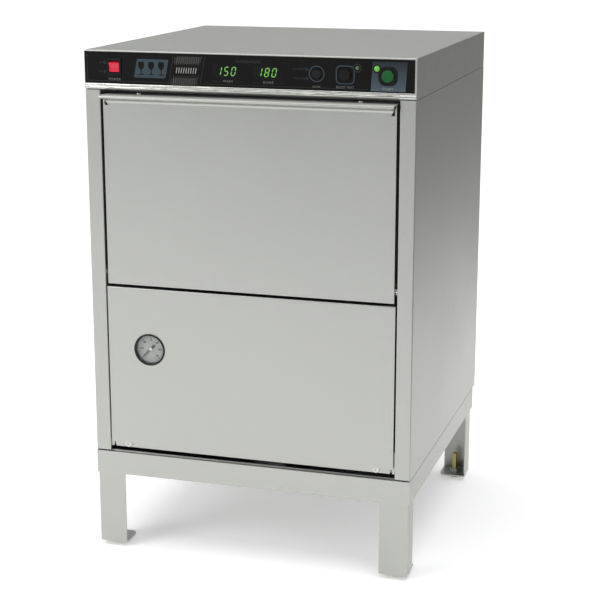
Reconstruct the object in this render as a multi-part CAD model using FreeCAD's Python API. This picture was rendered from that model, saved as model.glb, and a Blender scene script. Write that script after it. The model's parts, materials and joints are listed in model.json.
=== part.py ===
"""A commercial under-counter glasswasher on a welded stand, piece by piece.

Millimetres. +X is to the right of a person facing the machine, +Y to the
back and +Z up. The origin is on the floor, at the centre of the footprint.
Every function below makes one sub-assembly and returns its named pieces.
"""
import FreeCAD, Part
import math
import os

V = FreeCAD.Vector

# ---- overall sizes
WIDTH = 610.0
DEPTH = 622.0
LIP_REACH = 22.0
REAR_REACH = 26.0
TOP = 948.0
HALF = WIDTH / 2
FRONT = LIP_REACH - (DEPTH + LIP_REACH + REAR_REACH) / 2
REAR = FRONT + DEPTH

# ---- sheet and plate thicknesses
SHEET = 1.2
TANK_SHEET = 1.5
STAND_SHEET = 3.0
LEG_SHEET = 2.0

# ---- stand
STAND_TOP = 192.0
STAND_DEPTH = 600.0
RAIL_HEIGHT = 43.5
RAIL_FLANGE = 28.0
LEG_BASE = 9.0
LEG_WIDTH = 53.0
LEG_RETURN = 46.0
LEG_REAR_INSET = 8.0
FOOT_PLATE = 3.0
FOOT_DEPTH = 54.0
FOOT_CORNER = 12.0
BOLT_RADIUS = 5.0
BOLT_HEIGHT = 53.0
BOLT_HEAD = 6.0
BOLT_INSET = 27.0
BOLT_CLEARANCE = 0.3

# ---- cabinet
PANEL_BASE = 193.0
PANEL_TOP = 877.0
POST_WIDTH = 29.0
POST_DEPTH = 52.0
BACK_INSET = 3.0
LOUVRE_X = 150.0
LOUVRE_BASE = 380.0
LOUVRE_PITCH = 18.0

# ---- hood and control strip
HOOD_BASE = 878.0
HOOD_SHEET = 1.5
HOOD_WALL = 3.5
STRIP_TOP = 889.0
OVERLAY_TOP = 945.5
OVERLAY_LEFT = -304.5
OVERLAY_RIGHT = 301.5
OVERLAY = 2.0

# ---- controls on the strip, as (x, z) centres
POWER_AT = (-246.8, 918.8)
PRIME_AT = (128.6, 917.4)
BOOST_AT = (179.4, 917.0)
START_AT = (254.6, 916.8)
BOOST_LAMP_AT = (200.8, 929.3)
START_LAMP_AT = (235.1, 929.0)
POWER_HALF = (13.4, 15.4)
PRIME_RADIUS = 10.2
BOOST_RADIUS = 11.4
START_RADIUS = 12.4
START_BORE = 11.1
DISPLAYS_AT = ((-33.0, 917.0), (41.5, 917.0))
DISPLAY_SIZE = (56.0, 23.0)

# ---- door
DOOR_HALF = 271.0
DOOR_BASE = 520.0
DOOR_DEPTH = 48.0
FLARE_BASE = 859.0
FLARE_BEND = 6.0
NOTCH_BASE = 850.0
LIP_TOP = 869.5
LIP_NOSE = 2.75
FLARE_HALF = 261.0
PIVOT_Y = FRONT + 12.0
PIVOT_Z = 541.0
PIN_RADIUS = 5.5
BUSH_RADIUS = 8.0
LIP_SCREW_X = 205.0
RECESS_INSET = 60.0
RECESS_DEPTH = 6.0

# ---- lower access panel and gauge
ACCESS_HALF = 273.5
ACCESS_BASE = 213.0
ACCESS_TOP = 515.0
RAIL_BASE = 203.0
RAIL_TOP = 244.0
RAIL_BACK = 4.5
RELIEF_X = 269.0
PANEL_SCREW_X = 241.0
PANEL_SCREW_Z = 210.0
GAUGE_X = -192.5
GAUGE_Z = 399.0
GAUGE_RADIUS = 29.7

# ---- wash chamber
CHAMBER_HALF = 262.0
CHAMBER_FRONT = FRONT + 53.5
CHAMBER_BACK = FRONT + 560.0
CHAMBER_Y = (CHAMBER_FRONT + CHAMBER_BACK) / 2
CHAMBER_BASE = 545.0
CHAMBER_TOP = 867.5
MOUTH_HALF = 246.0
MOUTH_BASE = 574.0
MOUTH_TOP = 850.0
SUMP_HALF = 125.0
SUMP_NECK = 505.0
SUMP_BASE = 430.0
SUMP_DRAIN_RADIUS = 14.0
SUCTION_RADIUS = 13.0
SUCTION_X = -30.0
RAIL_Z = 586.0
ARM_REACH = 235.0
ARM_WIDTH = 26.0
ARM_HEIGHT = 16.0
ARM_WALL = 1.5
STANDPIPE_AT = (-90.0, CHAMBER_Y - 87.0)
HUB_HOLE = 18.5
STANDPIPE_HOLE = 18.0

# ---- machinery under the tank
PAN_TOP = 194.0
PUMP_AT = (40.0, FRONT + 390.0, 300.0)
RISER_Y = FRONT + 590.0
DRAIN_Z = 230.0
COLLAR = 4.0
DRAIN_RADIUS = 18.0
DRAIN_BORE = 16.0
DRAIN_BEND = 40.0
ELBOW_SPIGOT = 2.0
DRAIN_COLLAR_RADIUS = 24.0
DRAIN_TAIL_RADIUS = 19.0
INLET_AT = (-200.0, 275.0)
INLET_RADIUS = 13.2
INLET_BORE = 9.0
INLET_COLLAR_RADIUS = 17.0
INLET_HOLE = 15.0
DRAIN_HOLE = 20.0
GLAND_HOLE = 12.0
INLET_REACH = 20.0
GLAND_AT = (200.0, 300.0)
GLAND_BORE = 8.0
GLAND_REACH = 18.0
DOSING_X = (-40.0, 50.0)
DOSING_Y = FRONT + 60.0
DOSING_Z = 300.0


# ---- building blocks

def block(x, y, z):
    """Box between three pairs of limits."""
    return Part.makeBox(x[1] - x[0], y[1] - y[0], z[1] - z[0], V(x[0], y[0], z[0]))


def open_box(x, y, z, thickness, open_side):
    """Flat sheets meeting edge to edge round a box, all but the open side.

    open_side is an axis and an end, such as ("z", 1) for the top. The sheets
    come as x low, x high, y low, y high, z low, z high, less the open one.
    """
    spans = {"x": x, "y": y, "z": z}
    sheets = []
    for axis in "xyz":
        low, high = spans[axis]
        inside = [low, high]
        slabs = ((low, low + thickness), (high - thickness, high))
        for end, slab in enumerate(slabs):
            if (axis, end) != open_side:
                sheets.append(block(**{**spans, axis: slab}))
                inside[end] = slab[1 - end]
        spans[axis] = tuple(inside)
    return sheets


def rod(radius, start, direction, length):
    """Cylinder from a start point along a direction."""
    return Part.makeCylinder(radius, length, V(*start), V(*direction))


def tube(outer, inner, start, direction, length):
    return rod(outer, start, direction, length).cut(rod(inner, start, direction, length))


def hexagon(across_flats, start, height):
    """Hexagonal prism standing on start, along +Z."""
    corner = across_flats / math.sqrt(3)
    points = [V(start[0] + corner * math.cos(math.radians(60 * i)),
                start[1] + corner * math.sin(math.radians(60 * i)), start[2]) for i in range(7)]
    return Part.Face(Part.makePolygon(points)).extrude(V(0, 0, height))


def rounded_path(points, radii):
    """Wire of straight runs, with a tangent arc of radii[i] at each inner point."""
    points = [V(*p) for p in points]
    edges = []
    start = points[0]
    for before, corner, after, radius in zip(points, points[1:], points[2:], radii):
        inward = (before - corner).normalize()
        outward = (after - corner).normalize()
        half = inward.getAngle(outward) / 2
        run = radius / math.tan(half)
        middle = (inward + outward).normalize()
        first = corner + inward * run
        last = corner + outward * run
        crown = corner + middle * (radius / math.sin(half) - radius)
        edges.append(Part.makeLine(start, first))
        edges.append(Part.Arc(first, crown, last).toShape())
        start = last
    edges.append(Part.makeLine(start, points[-1]))
    return Part.Wire(edges)


def pipe(points, radius, bend):
    """Round bar swept along a route whose corners all have one bend radius."""
    path = rounded_path(points, [bend] * (len(points) - 2))
    direction = V(*points[1]) - V(*points[0])
    section = Part.Wire(Part.makeCircle(radius, V(*points[0]), direction))
    return path.makePipeShell([section], True, False)


def hollow_pipe(routes, radius, wall, bend):
    """One piece of pipe with a branch for each route, open at every end."""
    shape = joined(*[pipe(route, radius, bend) for route in routes])
    for route in routes:
        shape = shape.cut(pipe(route, radius - wall, bend))
    return shape


def folded(points, radii, thickness):
    """Face of a folded sheet: a line in (u, v) thickened to its left side."""
    wire = rounded_path([(u, v, 0) for u, v in points], radii)
    return wire.makeOffset2D(-thickness, 0, True, True)


def along_x(face, x0, x1):
    """Sweep a face drawn in (y, z) from x0 to x1."""
    solid = face.extrude(V(0, 0, x1 - x0))
    solid.translate(V(0, 0, x0))
    solid.rotate(V(0, 0, 0), V(1, 1, 1), 120)
    return solid


def profile_x(points, x0, x1):
    """Sweep a polygon drawn in (y, z) from x0 to x1."""
    closed = [V(u, v, 0) for u, v in points + points[:1]]
    return along_x(Part.Face(Part.makePolygon(closed)), x0, x1)


def rounded_square(centre, half, corner, y0, y1):
    """Square plate with round corners, facing the front, from y0 to y1."""
    x, z = centre
    plate = block((x - half[0], x + half[0]), (y0, y1), (z - half[1], z + half[1]))
    upright = [e for e in plate.Edges if abs(e.tangentAt(e.FirstParameter).y) > 0.99]
    return plate.makeFillet(corner, upright)


def mirrored(shape):
    return shape.mirror(V(0, 0, 0), V(1, 0, 0))


def group(*shapes):
    return Part.makeCompound([solid for shape in shapes for solid in shape.Solids])


def joined(first, *others):
    return first.multiFuse(list(others)).removeSplitter() if others else first


def edges_at(shape, test):
    """Straight edges whose two ends both pass the test."""
    return [e for e in shape.Edges if all(test(v.Point) for v in e.Vertexes)]


# ---- stand

def stand_rails():
    """Four folded rails, mitred into a ring that carries the cabinet."""
    base = STAND_TOP - RAIL_HEIGHT
    back = FRONT + STAND_DEPTH
    shelf = (STAND_TOP - STAND_SHEET, STAND_TOP)
    web = (base, STAND_TOP)
    front = joined(block((-HALF, HALF), (FRONT, FRONT + STAND_SHEET), web),
                   block((-HALF + RAIL_FLANGE, HALF - RAIL_FLANGE),
                         (FRONT + STAND_SHEET, FRONT + RAIL_FLANGE), shelf))
    rear = joined(block((-HALF, HALF), (back - STAND_SHEET, back), web),
                  block((-HALF + RAIL_FLANGE, HALF - RAIL_FLANGE),
                        (back - RAIL_FLANGE, back - STAND_SHEET), shelf))
    side = joined(block((-HALF, -HALF + STAND_SHEET),
                        (FRONT + STAND_SHEET, back - STAND_SHEET), web),
                  block((-HALF + STAND_SHEET, -HALF + RAIL_FLANGE),
                        (FRONT + STAND_SHEET, back - STAND_SHEET), shelf))
    return {"stand_front_rail": front, "stand_rear_rail": rear,
            "stand_side_rail_left": side, "stand_side_rail_right": mirrored(side)}


def leg(front_face, inward):
    """Left leg: front or rear flange, side flange, foot plate and weld nut.

    inward is +1 for a front leg, whose pieces run back from its face, and -1
    for a rear leg.
    """
    x0 = -HALF + STAND_SHEET
    rail_base = STAND_TOP - RAIL_HEIGHT

    def span(near, far):
        return tuple(sorted((front_face + inward * near, front_face + inward * far)))

    flange = block((x0, x0 + LEG_WIDTH), span(0, LEG_SHEET), (LEG_BASE, rail_base))
    side = block((x0, x0 + LEG_SHEET), span(0, LEG_RETURN), (LEG_BASE, rail_base))
    tongue = block((x0, x0 + LEG_SHEET), span(STAND_SHEET, LEG_RETURN),
                   (rail_base, STAND_TOP - STAND_SHEET))
    plate = block((x0, x0 + LEG_WIDTH), span(0, FOOT_DEPTH), (LEG_BASE, LEG_BASE + FOOT_PLATE))
    inner = V(x0 + LEG_WIDTH, front_face + inward * FOOT_DEPTH, 0)
    corner = [e for e in plate.Edges
              if all(abs(v.X - inner.x) < 0.01 and abs(v.Y - inner.y) < 0.01 for v in e.Vertexes)]
    plate = plate.makeFillet(FOOT_CORNER, corner)
    bolt = (-HALF + STAND_SHEET + BOLT_INSET - 2, front_face + inward * BOLT_INSET)
    nut = hexagon(19.0, (bolt[0], bolt[1], LEG_BASE + FOOT_PLATE), 8.0)
    shape = joined(flange, side, tongue, plate, nut)
    return shape.cut(rod(BOLT_RADIUS + BOLT_CLEARANCE, (bolt[0], bolt[1], 0), (0, 0, 1), 40)), bolt


def levelling_foot(at):
    """Hex-head levelling bolt, head on the floor."""
    head = hexagon(16.0, (at[0], at[1], 0), BOLT_HEAD)
    head = head.common(Part.makeCone(12.0, 8.2, BOLT_HEAD + 4, V(at[0], at[1], -2)))
    shank = rod(BOLT_RADIUS, (at[0], at[1], BOLT_HEAD), (0, 0, 1), BOLT_HEIGHT - BOLT_HEAD)
    return joined(head, shank)


def stand():
    pieces = stand_rails()
    front_leg, front_bolt = leg(FRONT, 1)
    rear_leg, rear_bolt = leg(FRONT + STAND_DEPTH - LEG_REAR_INSET, -1)
    for place, shape, bolt in (("front", front_leg, front_bolt), ("rear", rear_leg, rear_bolt)):
        foot = levelling_foot(bolt)
        pieces["stand_leg_%s_left" % place] = shape
        pieces["stand_leg_%s_right" % place] = mirrored(shape)
        pieces["levelling_foot_%s_left" % place] = foot
        pieces["levelling_foot_%s_right" % place] = mirrored(foot)
    return pieces


# ---- cabinet shell

def side_panel():
    """Left side sheet, folded at the front into a post with a deep return."""
    outline = [(-HALF, REAR), (-HALF, FRONT), (-HALF + POST_WIDTH, FRONT),
               (-HALF + POST_WIDTH, FRONT + POST_DEPTH)]
    sheet = folded(outline, (2.0, 2.0), SHEET).extrude(V(0, 0, PANEL_TOP - PANEL_BASE))
    sheet.translate(V(0, 0, PANEL_BASE))
    pin_hole = rod(PIN_RADIUS + BOLT_CLEARANCE, (-HALF + POST_WIDTH - 4, PIVOT_Y, PIVOT_Z),
                   (1, 0, 0), 8)
    post_foot = block((-HALF + SHEET + 0.8, -HALF + POST_WIDTH + 1),
                      (FRONT - 1, FRONT + POST_DEPTH + 1), (PANEL_BASE, PANEL_BASE + 3))
    return sheet.cut(pin_hole).cut(post_foot)


def frame_uprights():
    """Two rectangular tubes inside the folded posts."""
    x = (-HALF + SHEET, -HALF + POST_WIDTH - SHEET)
    y = (FRONT + SHEET + 0.8, FRONT + POST_DEPTH)
    wall = 2.0
    solid = block(x, y, (PAN_TOP, PANEL_TOP - 1))
    hollow = block((x[0] + wall, x[1] - wall), (y[0] + wall, y[1] - wall), (PAN_TOP, PANEL_TOP))
    bush_hole = rod(8.0, (x[1] - 5, PIVOT_Y, PIVOT_Z), (1, 0, 0), 10)
    left = solid.cut(hollow).cut(bush_hole)
    return group(left, mirrored(left))


def hinge_bushes():
    start = (-HALF + POST_WIDTH - SHEET, PIVOT_Y, PIVOT_Z)
    bush = tube(BUSH_RADIUS, PIN_RADIUS + 0.05, start, (-1, 0, 0), 15.0)
    return group(bush, mirrored(bush))


def back_panel():
    """Rear sheet between the sides, with louvres and three service holes."""
    y = (REAR - BACK_INSET, REAR - BACK_INSET + SHEET)
    sheet = block((-HALF + SHEET, HALF - SHEET), y, (PAN_TOP, PANEL_TOP))
    start_y = y[0] - 1
    drain_at = (STANDPIPE_AT[0], DRAIN_Z)
    for (x, z), radius in ((INLET_AT, INLET_HOLE), (drain_at, DRAIN_HOLE), (GLAND_AT, GLAND_HOLE)):
        sheet = sheet.cut(rod(radius, (x, start_y, z), (0, 1, 0), 4))
    louvres = []
    for side in (-1, 1):
        for row in range(8):
            z = LOUVRE_BASE + LOUVRE_PITCH * row
            x = side * LOUVRE_X
            louvres.append(block((x - 60, x + 60), (y[0] - 1, y[1] + 1), (z, z + 5)))
    return sheet.cut(Part.makeCompound(louvres))


def base_pan():
    """Flat floor of the cabinet, sitting on the stand's rails."""
    return block((-HALF + SHEET, HALF - SHEET), (FRONT + 8, REAR - BACK_INSET),
                 (STAND_TOP, PAN_TOP))


def bottom_cross_rail():
    """Angle across the front, showing as a strip below the access panel."""
    half = HALF - POST_WIDTH
    y = FRONT + RAIL_BACK
    rail = joined(block((-half, half), (y, y + 2), (RAIL_BASE, RAIL_TOP)),
                  block((-half, half), (y + 2, y + 26), (RAIL_TOP - 2, RAIL_TOP)))
    for side in (-1, 1):
        x = side * PANEL_SCREW_X
        rail = rail.cut(rod(2.5, (x, y - 1, PANEL_SCREW_Z), (0, 1, 0), 5))
        x = side * RELIEF_X
        slot = block((x - 0.9, x + 0.9), (y - 1, y + 3), (RAIL_BASE - 1, ACCESS_BASE - 1))
        foot = block((x - 2.0, x + 2.0), (y - 1, y + 3), (RAIL_BASE - 1, RAIL_BASE + 3))
        rail = rail.cut(slot).cut(foot)
    return rail


def access_panel():
    """Lower front sheet, returned at its top and sides, with the gauge's hole."""
    inner = ACCESS_HALF - SHEET
    face = folded([(FRONT + 12, ACCESS_TOP), (FRONT, ACCESS_TOP), (FRONT, ACCESS_BASE)],
                  (2.0,), SHEET)
    sheet = along_x(face, -ACCESS_HALF, ACCESS_HALF)
    side = block((-ACCESS_HALF, -inner), (FRONT + SHEET, FRONT + 12),
                 (RAIL_TOP + 1, ACCESS_TOP - SHEET))
    sheet = joined(sheet, side, mirrored(side))
    return sheet.cut(rod(GAUGE_RADIUS + 0.5, (GAUGE_X, FRONT - 1, GAUGE_Z), (0, 1, 0), 4))


def access_panel_screws():
    """Pan-head screws in the cross rail, half covered by the panel's edge."""
    seat = FRONT + RAIL_BACK
    screws = []
    for x in (-PANEL_SCREW_X, PANEL_SCREW_X):
        head = rod(7.0, (x, seat - 3.0, PANEL_SCREW_Z), (0, 1, 0), 3.0)
        head = head.makeFillet(1.2, edges_of_face(head, seat - 3.0))
        shank = rod(2.5, (x, seat, PANEL_SCREW_Z), (0, 1, 0), 12)
        recess = rod(2.2, (x, seat - 4, PANEL_SCREW_Z), (0, 1, 0), 2.6)
        screws.append(joined(head, shank).cut(recess))
    return group(*screws)


def edges_of_face(shape, y):
    """Circular edges that lie in one plane of constant y."""
    return [e for e in shape.Edges if abs(e.BoundBox.YMin - y) < 0.01
            and abs(e.BoundBox.YMax - y) < 0.01]


def cabinet():
    left = side_panel()
    return {"side_panel_left": left, "side_panel_right": mirrored(left),
            "frame_uprights": frame_uprights(), "hinge_bushes": hinge_bushes(),
            "back_panel": back_panel(), "base_pan": base_pan(),
            "bottom_cross_rail": bottom_cross_rail(), "access_panel": access_panel(),
            "access_panel_screws": access_panel_screws()}


# ---- hood and controls

def control_cutouts(clearance):
    """Solids that cut the switch and lamp holes through the strip."""
    y, deep = FRONT - 5, 30
    x, z = POWER_AT
    cuts = [block((x - POWER_HALF[0] - clearance, x + POWER_HALF[0] + clearance), (y, y + deep),
                  (z - POWER_HALF[1] - clearance, z + POWER_HALF[1] + clearance))]
    for at, radius in ((PRIME_AT, PRIME_RADIUS), (BOOST_AT, BOOST_RADIUS), (START_AT, START_RADIUS),
                       (BOOST_LAMP_AT, 3.5), (START_LAMP_AT, 5.0)):
        cuts.append(rod(radius + clearance, (at[0], y, at[1]), (0, 1, 0), deep))
    return cuts


def display_blocks(y0, y1, grow):
    blocks = []
    for x, z in DISPLAYS_AT:
        blocks.append(block((x - DISPLAY_SIZE[0] / 2 - grow, x + DISPLAY_SIZE[0] / 2 + grow),
                            (y0, y1),
                            (z - DISPLAY_SIZE[1] / 2 - grow, z + DISPLAY_SIZE[1] / 2 + grow)))
    return blocks


def hood():
    """Folded top cover, its front set back for the control overlay."""
    shell = block((-HALF, HALF), (FRONT, REAR), (HOOD_BASE, TOP))
    top_rim = edges_at(shell, lambda p: abs(p.z - TOP) < 0.01)
    rear_posts = edges_at(shell, lambda p: abs(p.y - REAR) < 0.01)
    upright = [e for e in rear_posts if abs(e.tangentAt(e.FirstParameter).z) > 0.99]
    front_low = edges_at(shell, lambda p: abs(p.z - HOOD_BASE) < 0.01 and abs(p.y - FRONT) < 0.01)
    shell = shell.makeFillet(1.5, top_rim + upright + front_low)
    cavity = block((-HALF + HOOD_SHEET, HALF - HOOD_SHEET), (FRONT + HOOD_WALL, REAR - HOOD_SHEET),
                   (HOOD_BASE - 1, TOP - HOOD_SHEET))
    recess = block((OVERLAY_LEFT, OVERLAY_RIGHT), (FRONT - 1, FRONT + OVERLAY),
                   (STRIP_TOP, OVERLAY_TOP))
    shell = shell.cut(cavity).cut(recess)
    hem = block((-HALF + HOOD_SHEET, HALF - HOOD_SHEET), (FRONT + HOOD_WALL, FRONT + 30),
                (HOOD_BASE, HOOD_BASE + HOOD_SHEET))
    shell = joined(shell, hem)
    return shell.cut(Part.makeCompound(control_cutouts(0.5) + display_blocks(FRONT, FRONT + 10, -2)))


def control_overlay():
    """Black front plate that carries the switches and displays."""
    plate = block((OVERLAY_LEFT, OVERLAY_RIGHT), (FRONT, FRONT + OVERLAY), (STRIP_TOP, OVERLAY_TOP))
    windows = display_blocks(FRONT - 1, FRONT + OVERLAY + 1, 0)
    return plate.cut(Part.makeCompound(control_cutouts(0.1) + windows))


def fascia_lenses():
    """Two display windows and two domed lamp lenses."""
    lenses = display_blocks(FRONT, FRONT + OVERLAY, 0)
    for at, radius in ((BOOST_LAMP_AT, 3.5), (START_LAMP_AT, 5.0)):
        body = rod(radius, (at[0], FRONT - 1.6, at[1]), (0, 1, 0), 8)
        lenses.append(body.makeFillet(1.3, edges_of_face(body, FRONT - 1.6)))
    return group(*lenses)


def round_housing(at, outer, bore, proud):
    """Switch body: a cup open to the front."""
    x, z = at
    cup = rod(outer, (x, FRONT - proud, z), (0, 1, 0), 20 + proud)
    return cup.cut(rod(bore, (x, FRONT - proud, z), (0, 1, 0), 16 + proud))


def switch_bezels():
    """Housings of the four switches, each open where its button moves."""
    x, z = POWER_AT
    power = block((x - POWER_HALF[0], x + POWER_HALF[0]), (FRONT - 2, FRONT + 20),
                  (z - POWER_HALF[1], z + POWER_HALF[1]))
    rim = edges_at(power, lambda p: abs(p.y - FRONT + 2) < 0.01)
    power = power.makeFillet(1.0, rim)
    power = power.cut(block((x - 9.9, x + 9.9), (FRONT - 3, FRONT + 17), (z - 10.9, z + 10.9)))
    prime = round_housing(PRIME_AT, PRIME_RADIUS, 9.0, 1.0)
    boost = round_housing(BOOST_AT, BOOST_RADIUS, 10.2, 1.0)
    start = round_housing(START_AT, START_RADIUS, START_BORE, 0.0)
    surround = rounded_square(START_AT, (16.4, 15.9), 12.0, FRONT - 1.2, FRONT)
    surround = surround.cut(rod(START_BORE, (START_AT[0], FRONT - 3, START_AT[1]), (0, 1, 0), 6))
    return group(power, prime, boost, joined(start, surround))


def power_rocker():
    """Rocker with two faces in a shallow V, resting tipped to its on side."""
    x, z = POWER_AT
    reach = 10.4
    pivot_y = FRONT + 3.5
    ridge = -4.6
    corner_y = -6.2
    corner_z = math.sqrt(reach ** 2 - corner_y ** 2) - 0.1
    outline = [(corner_y, corner_z), (ridge, 0), (corner_y, -corner_z), (3, -9.8), (8, -5), (8, 5),
               (3, 9.8)]
    outline = [(pivot_y + y, z + dz) for y, dz in outline]
    rocker = profile_x(outline, x - 9.45, x + 9.45)
    rocker.rotate(V(x, pivot_y, z), V(1, 0, 0), 8)
    return rocker


def prime_rocker():
    """Round momentary rocker, level at rest."""
    x, z = PRIME_AT
    pivot_y = FRONT + 4
    body = rod(8.2, (x, FRONT - 2.4, z), (0, 1, 0), 11)
    groove = profile_x([(FRONT - 3, z - 8.4), (FRONT - 3, z + 8.4), (FRONT - 1.2, z)], x - 9, x + 9)
    return body.cut(groove).common(Part.makeSphere(10.4, V(x, pivot_y, z)))


def push_button(at, radius, proud):
    """Round button with a soft front edge and a stem."""
    x, z = at
    cap = rod(radius, (x, FRONT - proud, z), (0, 1, 0), 6 + proud)
    cap = cap.makeFillet(0.8, edges_of_face(cap, FRONT - proud))
    stem = rod(3.0, (x, FRONT + 6, z), (0, 1, 0), 5)
    return joined(cap, stem)


def control_board():
    """Circuit board on four stand-offs behind the strip."""
    y = FRONT + 30
    board = block((-262, 278), (y, y + 1.6), (889, 937))
    posts = [rod(3.0, (x, FRONT + HOOD_WALL, z), (0, 1, 0), y - FRONT - HOOD_WALL)
             for x in (-215, 215) for z in (894, 932)]
    parts = [block((x - 14, x + 14), (y + 1.6, y + 16), (896, 922)) for x in (-180, -90, 0, 90, 180)]
    return joined(board, *posts, *parts)


def controls():
    return {"hood": hood(), "control_overlay": control_overlay(),
            "fascia_lenses": fascia_lenses(), "switch_bezels": switch_bezels(),
            "power_rocker": power_rocker(), "prime_rocker": prime_rocker(),
            "boost_button": push_button(BOOST_AT, 9.75, 3.5),
            "start_button": push_button(START_AT, 10.6, 4.2), "control_board": control_board()}


# ---- door

def lip_corner_y():
    """Where the flare's line meets the lip's flat top, before the nose's bend."""
    centre = (FRONT - LIP_REACH + LIP_NOSE, LIP_TOP - LIP_NOSE)
    dy = centre[0] - FRONT
    dz = centre[1] - FLARE_BASE
    slope = math.atan2(dz, dy) + math.asin(LIP_NOSE / math.hypot(dy, dz))
    return FRONT + (LIP_TOP - FLARE_BASE) / math.tan(slope)


def door_skin():
    """Outer sheet: face, flared pull lip, flat top and side returns."""
    back = FRONT + DOOR_DEPTH
    outline = [(back, LIP_TOP - 10), (back, LIP_TOP), (lip_corner_y(), LIP_TOP),
               (FRONT, FLARE_BASE), (FRONT, DOOR_BASE), (FRONT + 12, DOOR_BASE)]
    face = folded(outline, (2.0, LIP_NOSE, FLARE_BEND, 2.0), SHEET)
    sheet = along_x(face, -DOOR_HALF, DOOR_HALF)
    inner = DOOR_HALF - SHEET
    taper = [V(FLARE_HALF, 0, NOTCH_BASE), V(DOOR_HALF + 1, 0, NOTCH_BASE),
             V(DOOR_HALF + 1, 0, LIP_TOP - LIP_NOSE), V(DOOR_HALF, 0, LIP_TOP - LIP_NOSE)]
    wedge = Part.Face(Part.makePolygon(taper + taper[:1])).extrude(V(0, LIP_REACH + 6, 0))
    wedge.translate(V(0, FRONT - LIP_REACH - 2, 0))
    sheet = sheet.cut(wedge).cut(mirrored(wedge))
    side_outline = [(FRONT + 1, DOOR_BASE + SHEET), (FRONT + 12, DOOR_BASE + SHEET),
                    (FRONT + 12, DOOR_BASE + 14), (FRONT + 30, DOOR_BASE + 28),
                    (FRONT + 30, LIP_TOP - SHEET), (FRONT + 1, LIP_TOP - SHEET)]
    side = profile_x(side_outline, -DOOR_HALF, -inner)
    strip = block((-DOOR_HALF, -DOOR_HALF + 2.6), (FRONT, FRONT + SHEET),
                  (NOTCH_BASE - 3, LIP_TOP - SHEET))
    side = joined(side, strip)
    side = side.cut(rod(PIN_RADIUS, (-DOOR_HALF - 1, PIVOT_Y, PIVOT_Z), (1, 0, 0), 4))
    return joined(sheet, side, mirrored(side))


def door_liner():
    """Inner pan of the door, closed towards the chamber, its back sheet recessed."""
    half = DOOR_HALF - SHEET - 1.5
    y = (FRONT + SHEET, FRONT + DOOR_DEPTH - SHEET)
    base = DOOR_BASE + 34
    top = LIP_TOP - SHEET - 1
    pan = open_box((-half, half), y, (base, top), SHEET, ("y", 0))
    left, right, back, floor, roof = pan
    frame = half - RECESS_INSET
    rib = block((-frame, frame), (y[1] - RECESS_DEPTH, y[1]), (base + 50, base + 250))
    recess = block((SHEET - frame, frame - SHEET), (y[1] - RECESS_DEPTH + SHEET, y[1] + 1),
                   (base + 50 + SHEET, base + 250 - SHEET))
    return group(left, right, joined(back, rib).cut(recess), floor, roof)


def door_gasket():
    """Rubber strips round the liner's back face, one along each side."""
    y = (FRONT + DOOR_DEPTH, FRONT + DOOR_DEPTH + 3.6)
    half = MOUTH_HALF + 10
    low, high = MOUTH_BASE - 12, MOUTH_TOP + 6
    left = block((-half, -half + 8), y, (low, high))
    bottom = block((-half + 8, half - 8), y, (low, low + 8))
    top = block((-half + 8, half - 8), y, (high - 8, high))
    return group(left, mirrored(left), bottom, top)


def door_hinge_pins():
    """Pins on plates welded inside the door's side returns."""
    inner = -DOOR_HALF + SHEET
    plate = block((inner, inner + 3), (FRONT + SHEET, FRONT + 18), (PIVOT_Z - 10, PIVOT_Z + 12))
    pin = rod(PIN_RADIUS, (inner + 3, PIVOT_Y, PIVOT_Z), (-1, 0, 0), 26)
    left = joined(plate, pin)
    return group(left, mirrored(left))


def door_lip_screws():
    """Truss-head screws on the lip's flat top."""
    rise = 3.6
    screws = []
    for x in (-LIP_SCREW_X, LIP_SCREW_X):
        head = rod(5.5, (x, FRONT + 10, LIP_TOP), (0, 0, 1), rise)
        rim = [e for e in head.Edges if abs(e.BoundBox.ZMin - LIP_TOP - rise) < 0.01]
        screws.append(head.makeFillet(1.6, rim))
    return group(*screws)


def door():
    return {"door_skin": door_skin(), "door_liner": door_liner(), "door_gasket": door_gasket(),
            "door_hinge_pins": door_hinge_pins(), "door_lip_screws": door_lip_screws()}


# ---- gauge

def gauge():
    """Pressure gauge seated in the access panel: cup, pointer and window."""
    at = (GAUGE_X, GAUGE_Z)

    def disc(radius, y0, y1):
        return rod(radius, (at[0], FRONT + y0, at[1]), (0, 1, 0), y1 - y0)

    inner = GAUGE_RADIUS - 2.7
    cup = joined(disc(GAUGE_RADIUS, -1.0, 34), disc(GAUGE_RADIUS + 7, SHEET, SHEET + 2),
                 disc(7, 34, 48))
    cup = cup.cut(disc(inner, -2, 8)).cut(disc(1.8, 7, 14))
    pointer_hub = joined(disc(3.0, 4.4, 6.4), disc(1.5, 6.4, 12))
    needle = Part.makePolygon([V(at[0] - 0.9, 0, at[1] + 20.5), V(at[0] + 0.9, 0, at[1] + 20.5),
                               V(at[0] + 1.6, 0, at[1]), V(at[0] + 2.6, 0, at[1] - 11),
                               V(at[0] - 2.6, 0, at[1] - 11), V(at[0] - 1.6, 0, at[1]),
                               V(at[0] - 0.9, 0, at[1] + 20.5)])
    needle = Part.Face(needle).extrude(V(0, 0.8, 0))
    needle.translate(V(0, FRONT + 5.0, 0))
    pointer = joined(needle, pointer_hub)
    pointer.rotate(V(at[0], 0, at[1]), V(0, 1, 0), -135)
    window = disc(inner, 1.4, 3.4)
    return {"gauge_case": cup, "gauge_pointer": pointer, "gauge_window": window}


# ---- wash chamber

def chamber_wrap():
    """Left, back and right walls of the wash chamber, one bent sheet."""
    outline = [(-CHAMBER_HALF, CHAMBER_FRONT), (-CHAMBER_HALF, CHAMBER_BACK),
               (CHAMBER_HALF, CHAMBER_BACK), (CHAMBER_HALF, CHAMBER_FRONT)]
    sheet = folded(outline, (6.0, 6.0), TANK_SHEET)
    sheet = sheet.extrude(V(0, 0, CHAMBER_TOP - CHAMBER_BASE))
    sheet.translate(V(0, 0, CHAMBER_BASE))
    return sheet


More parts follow.
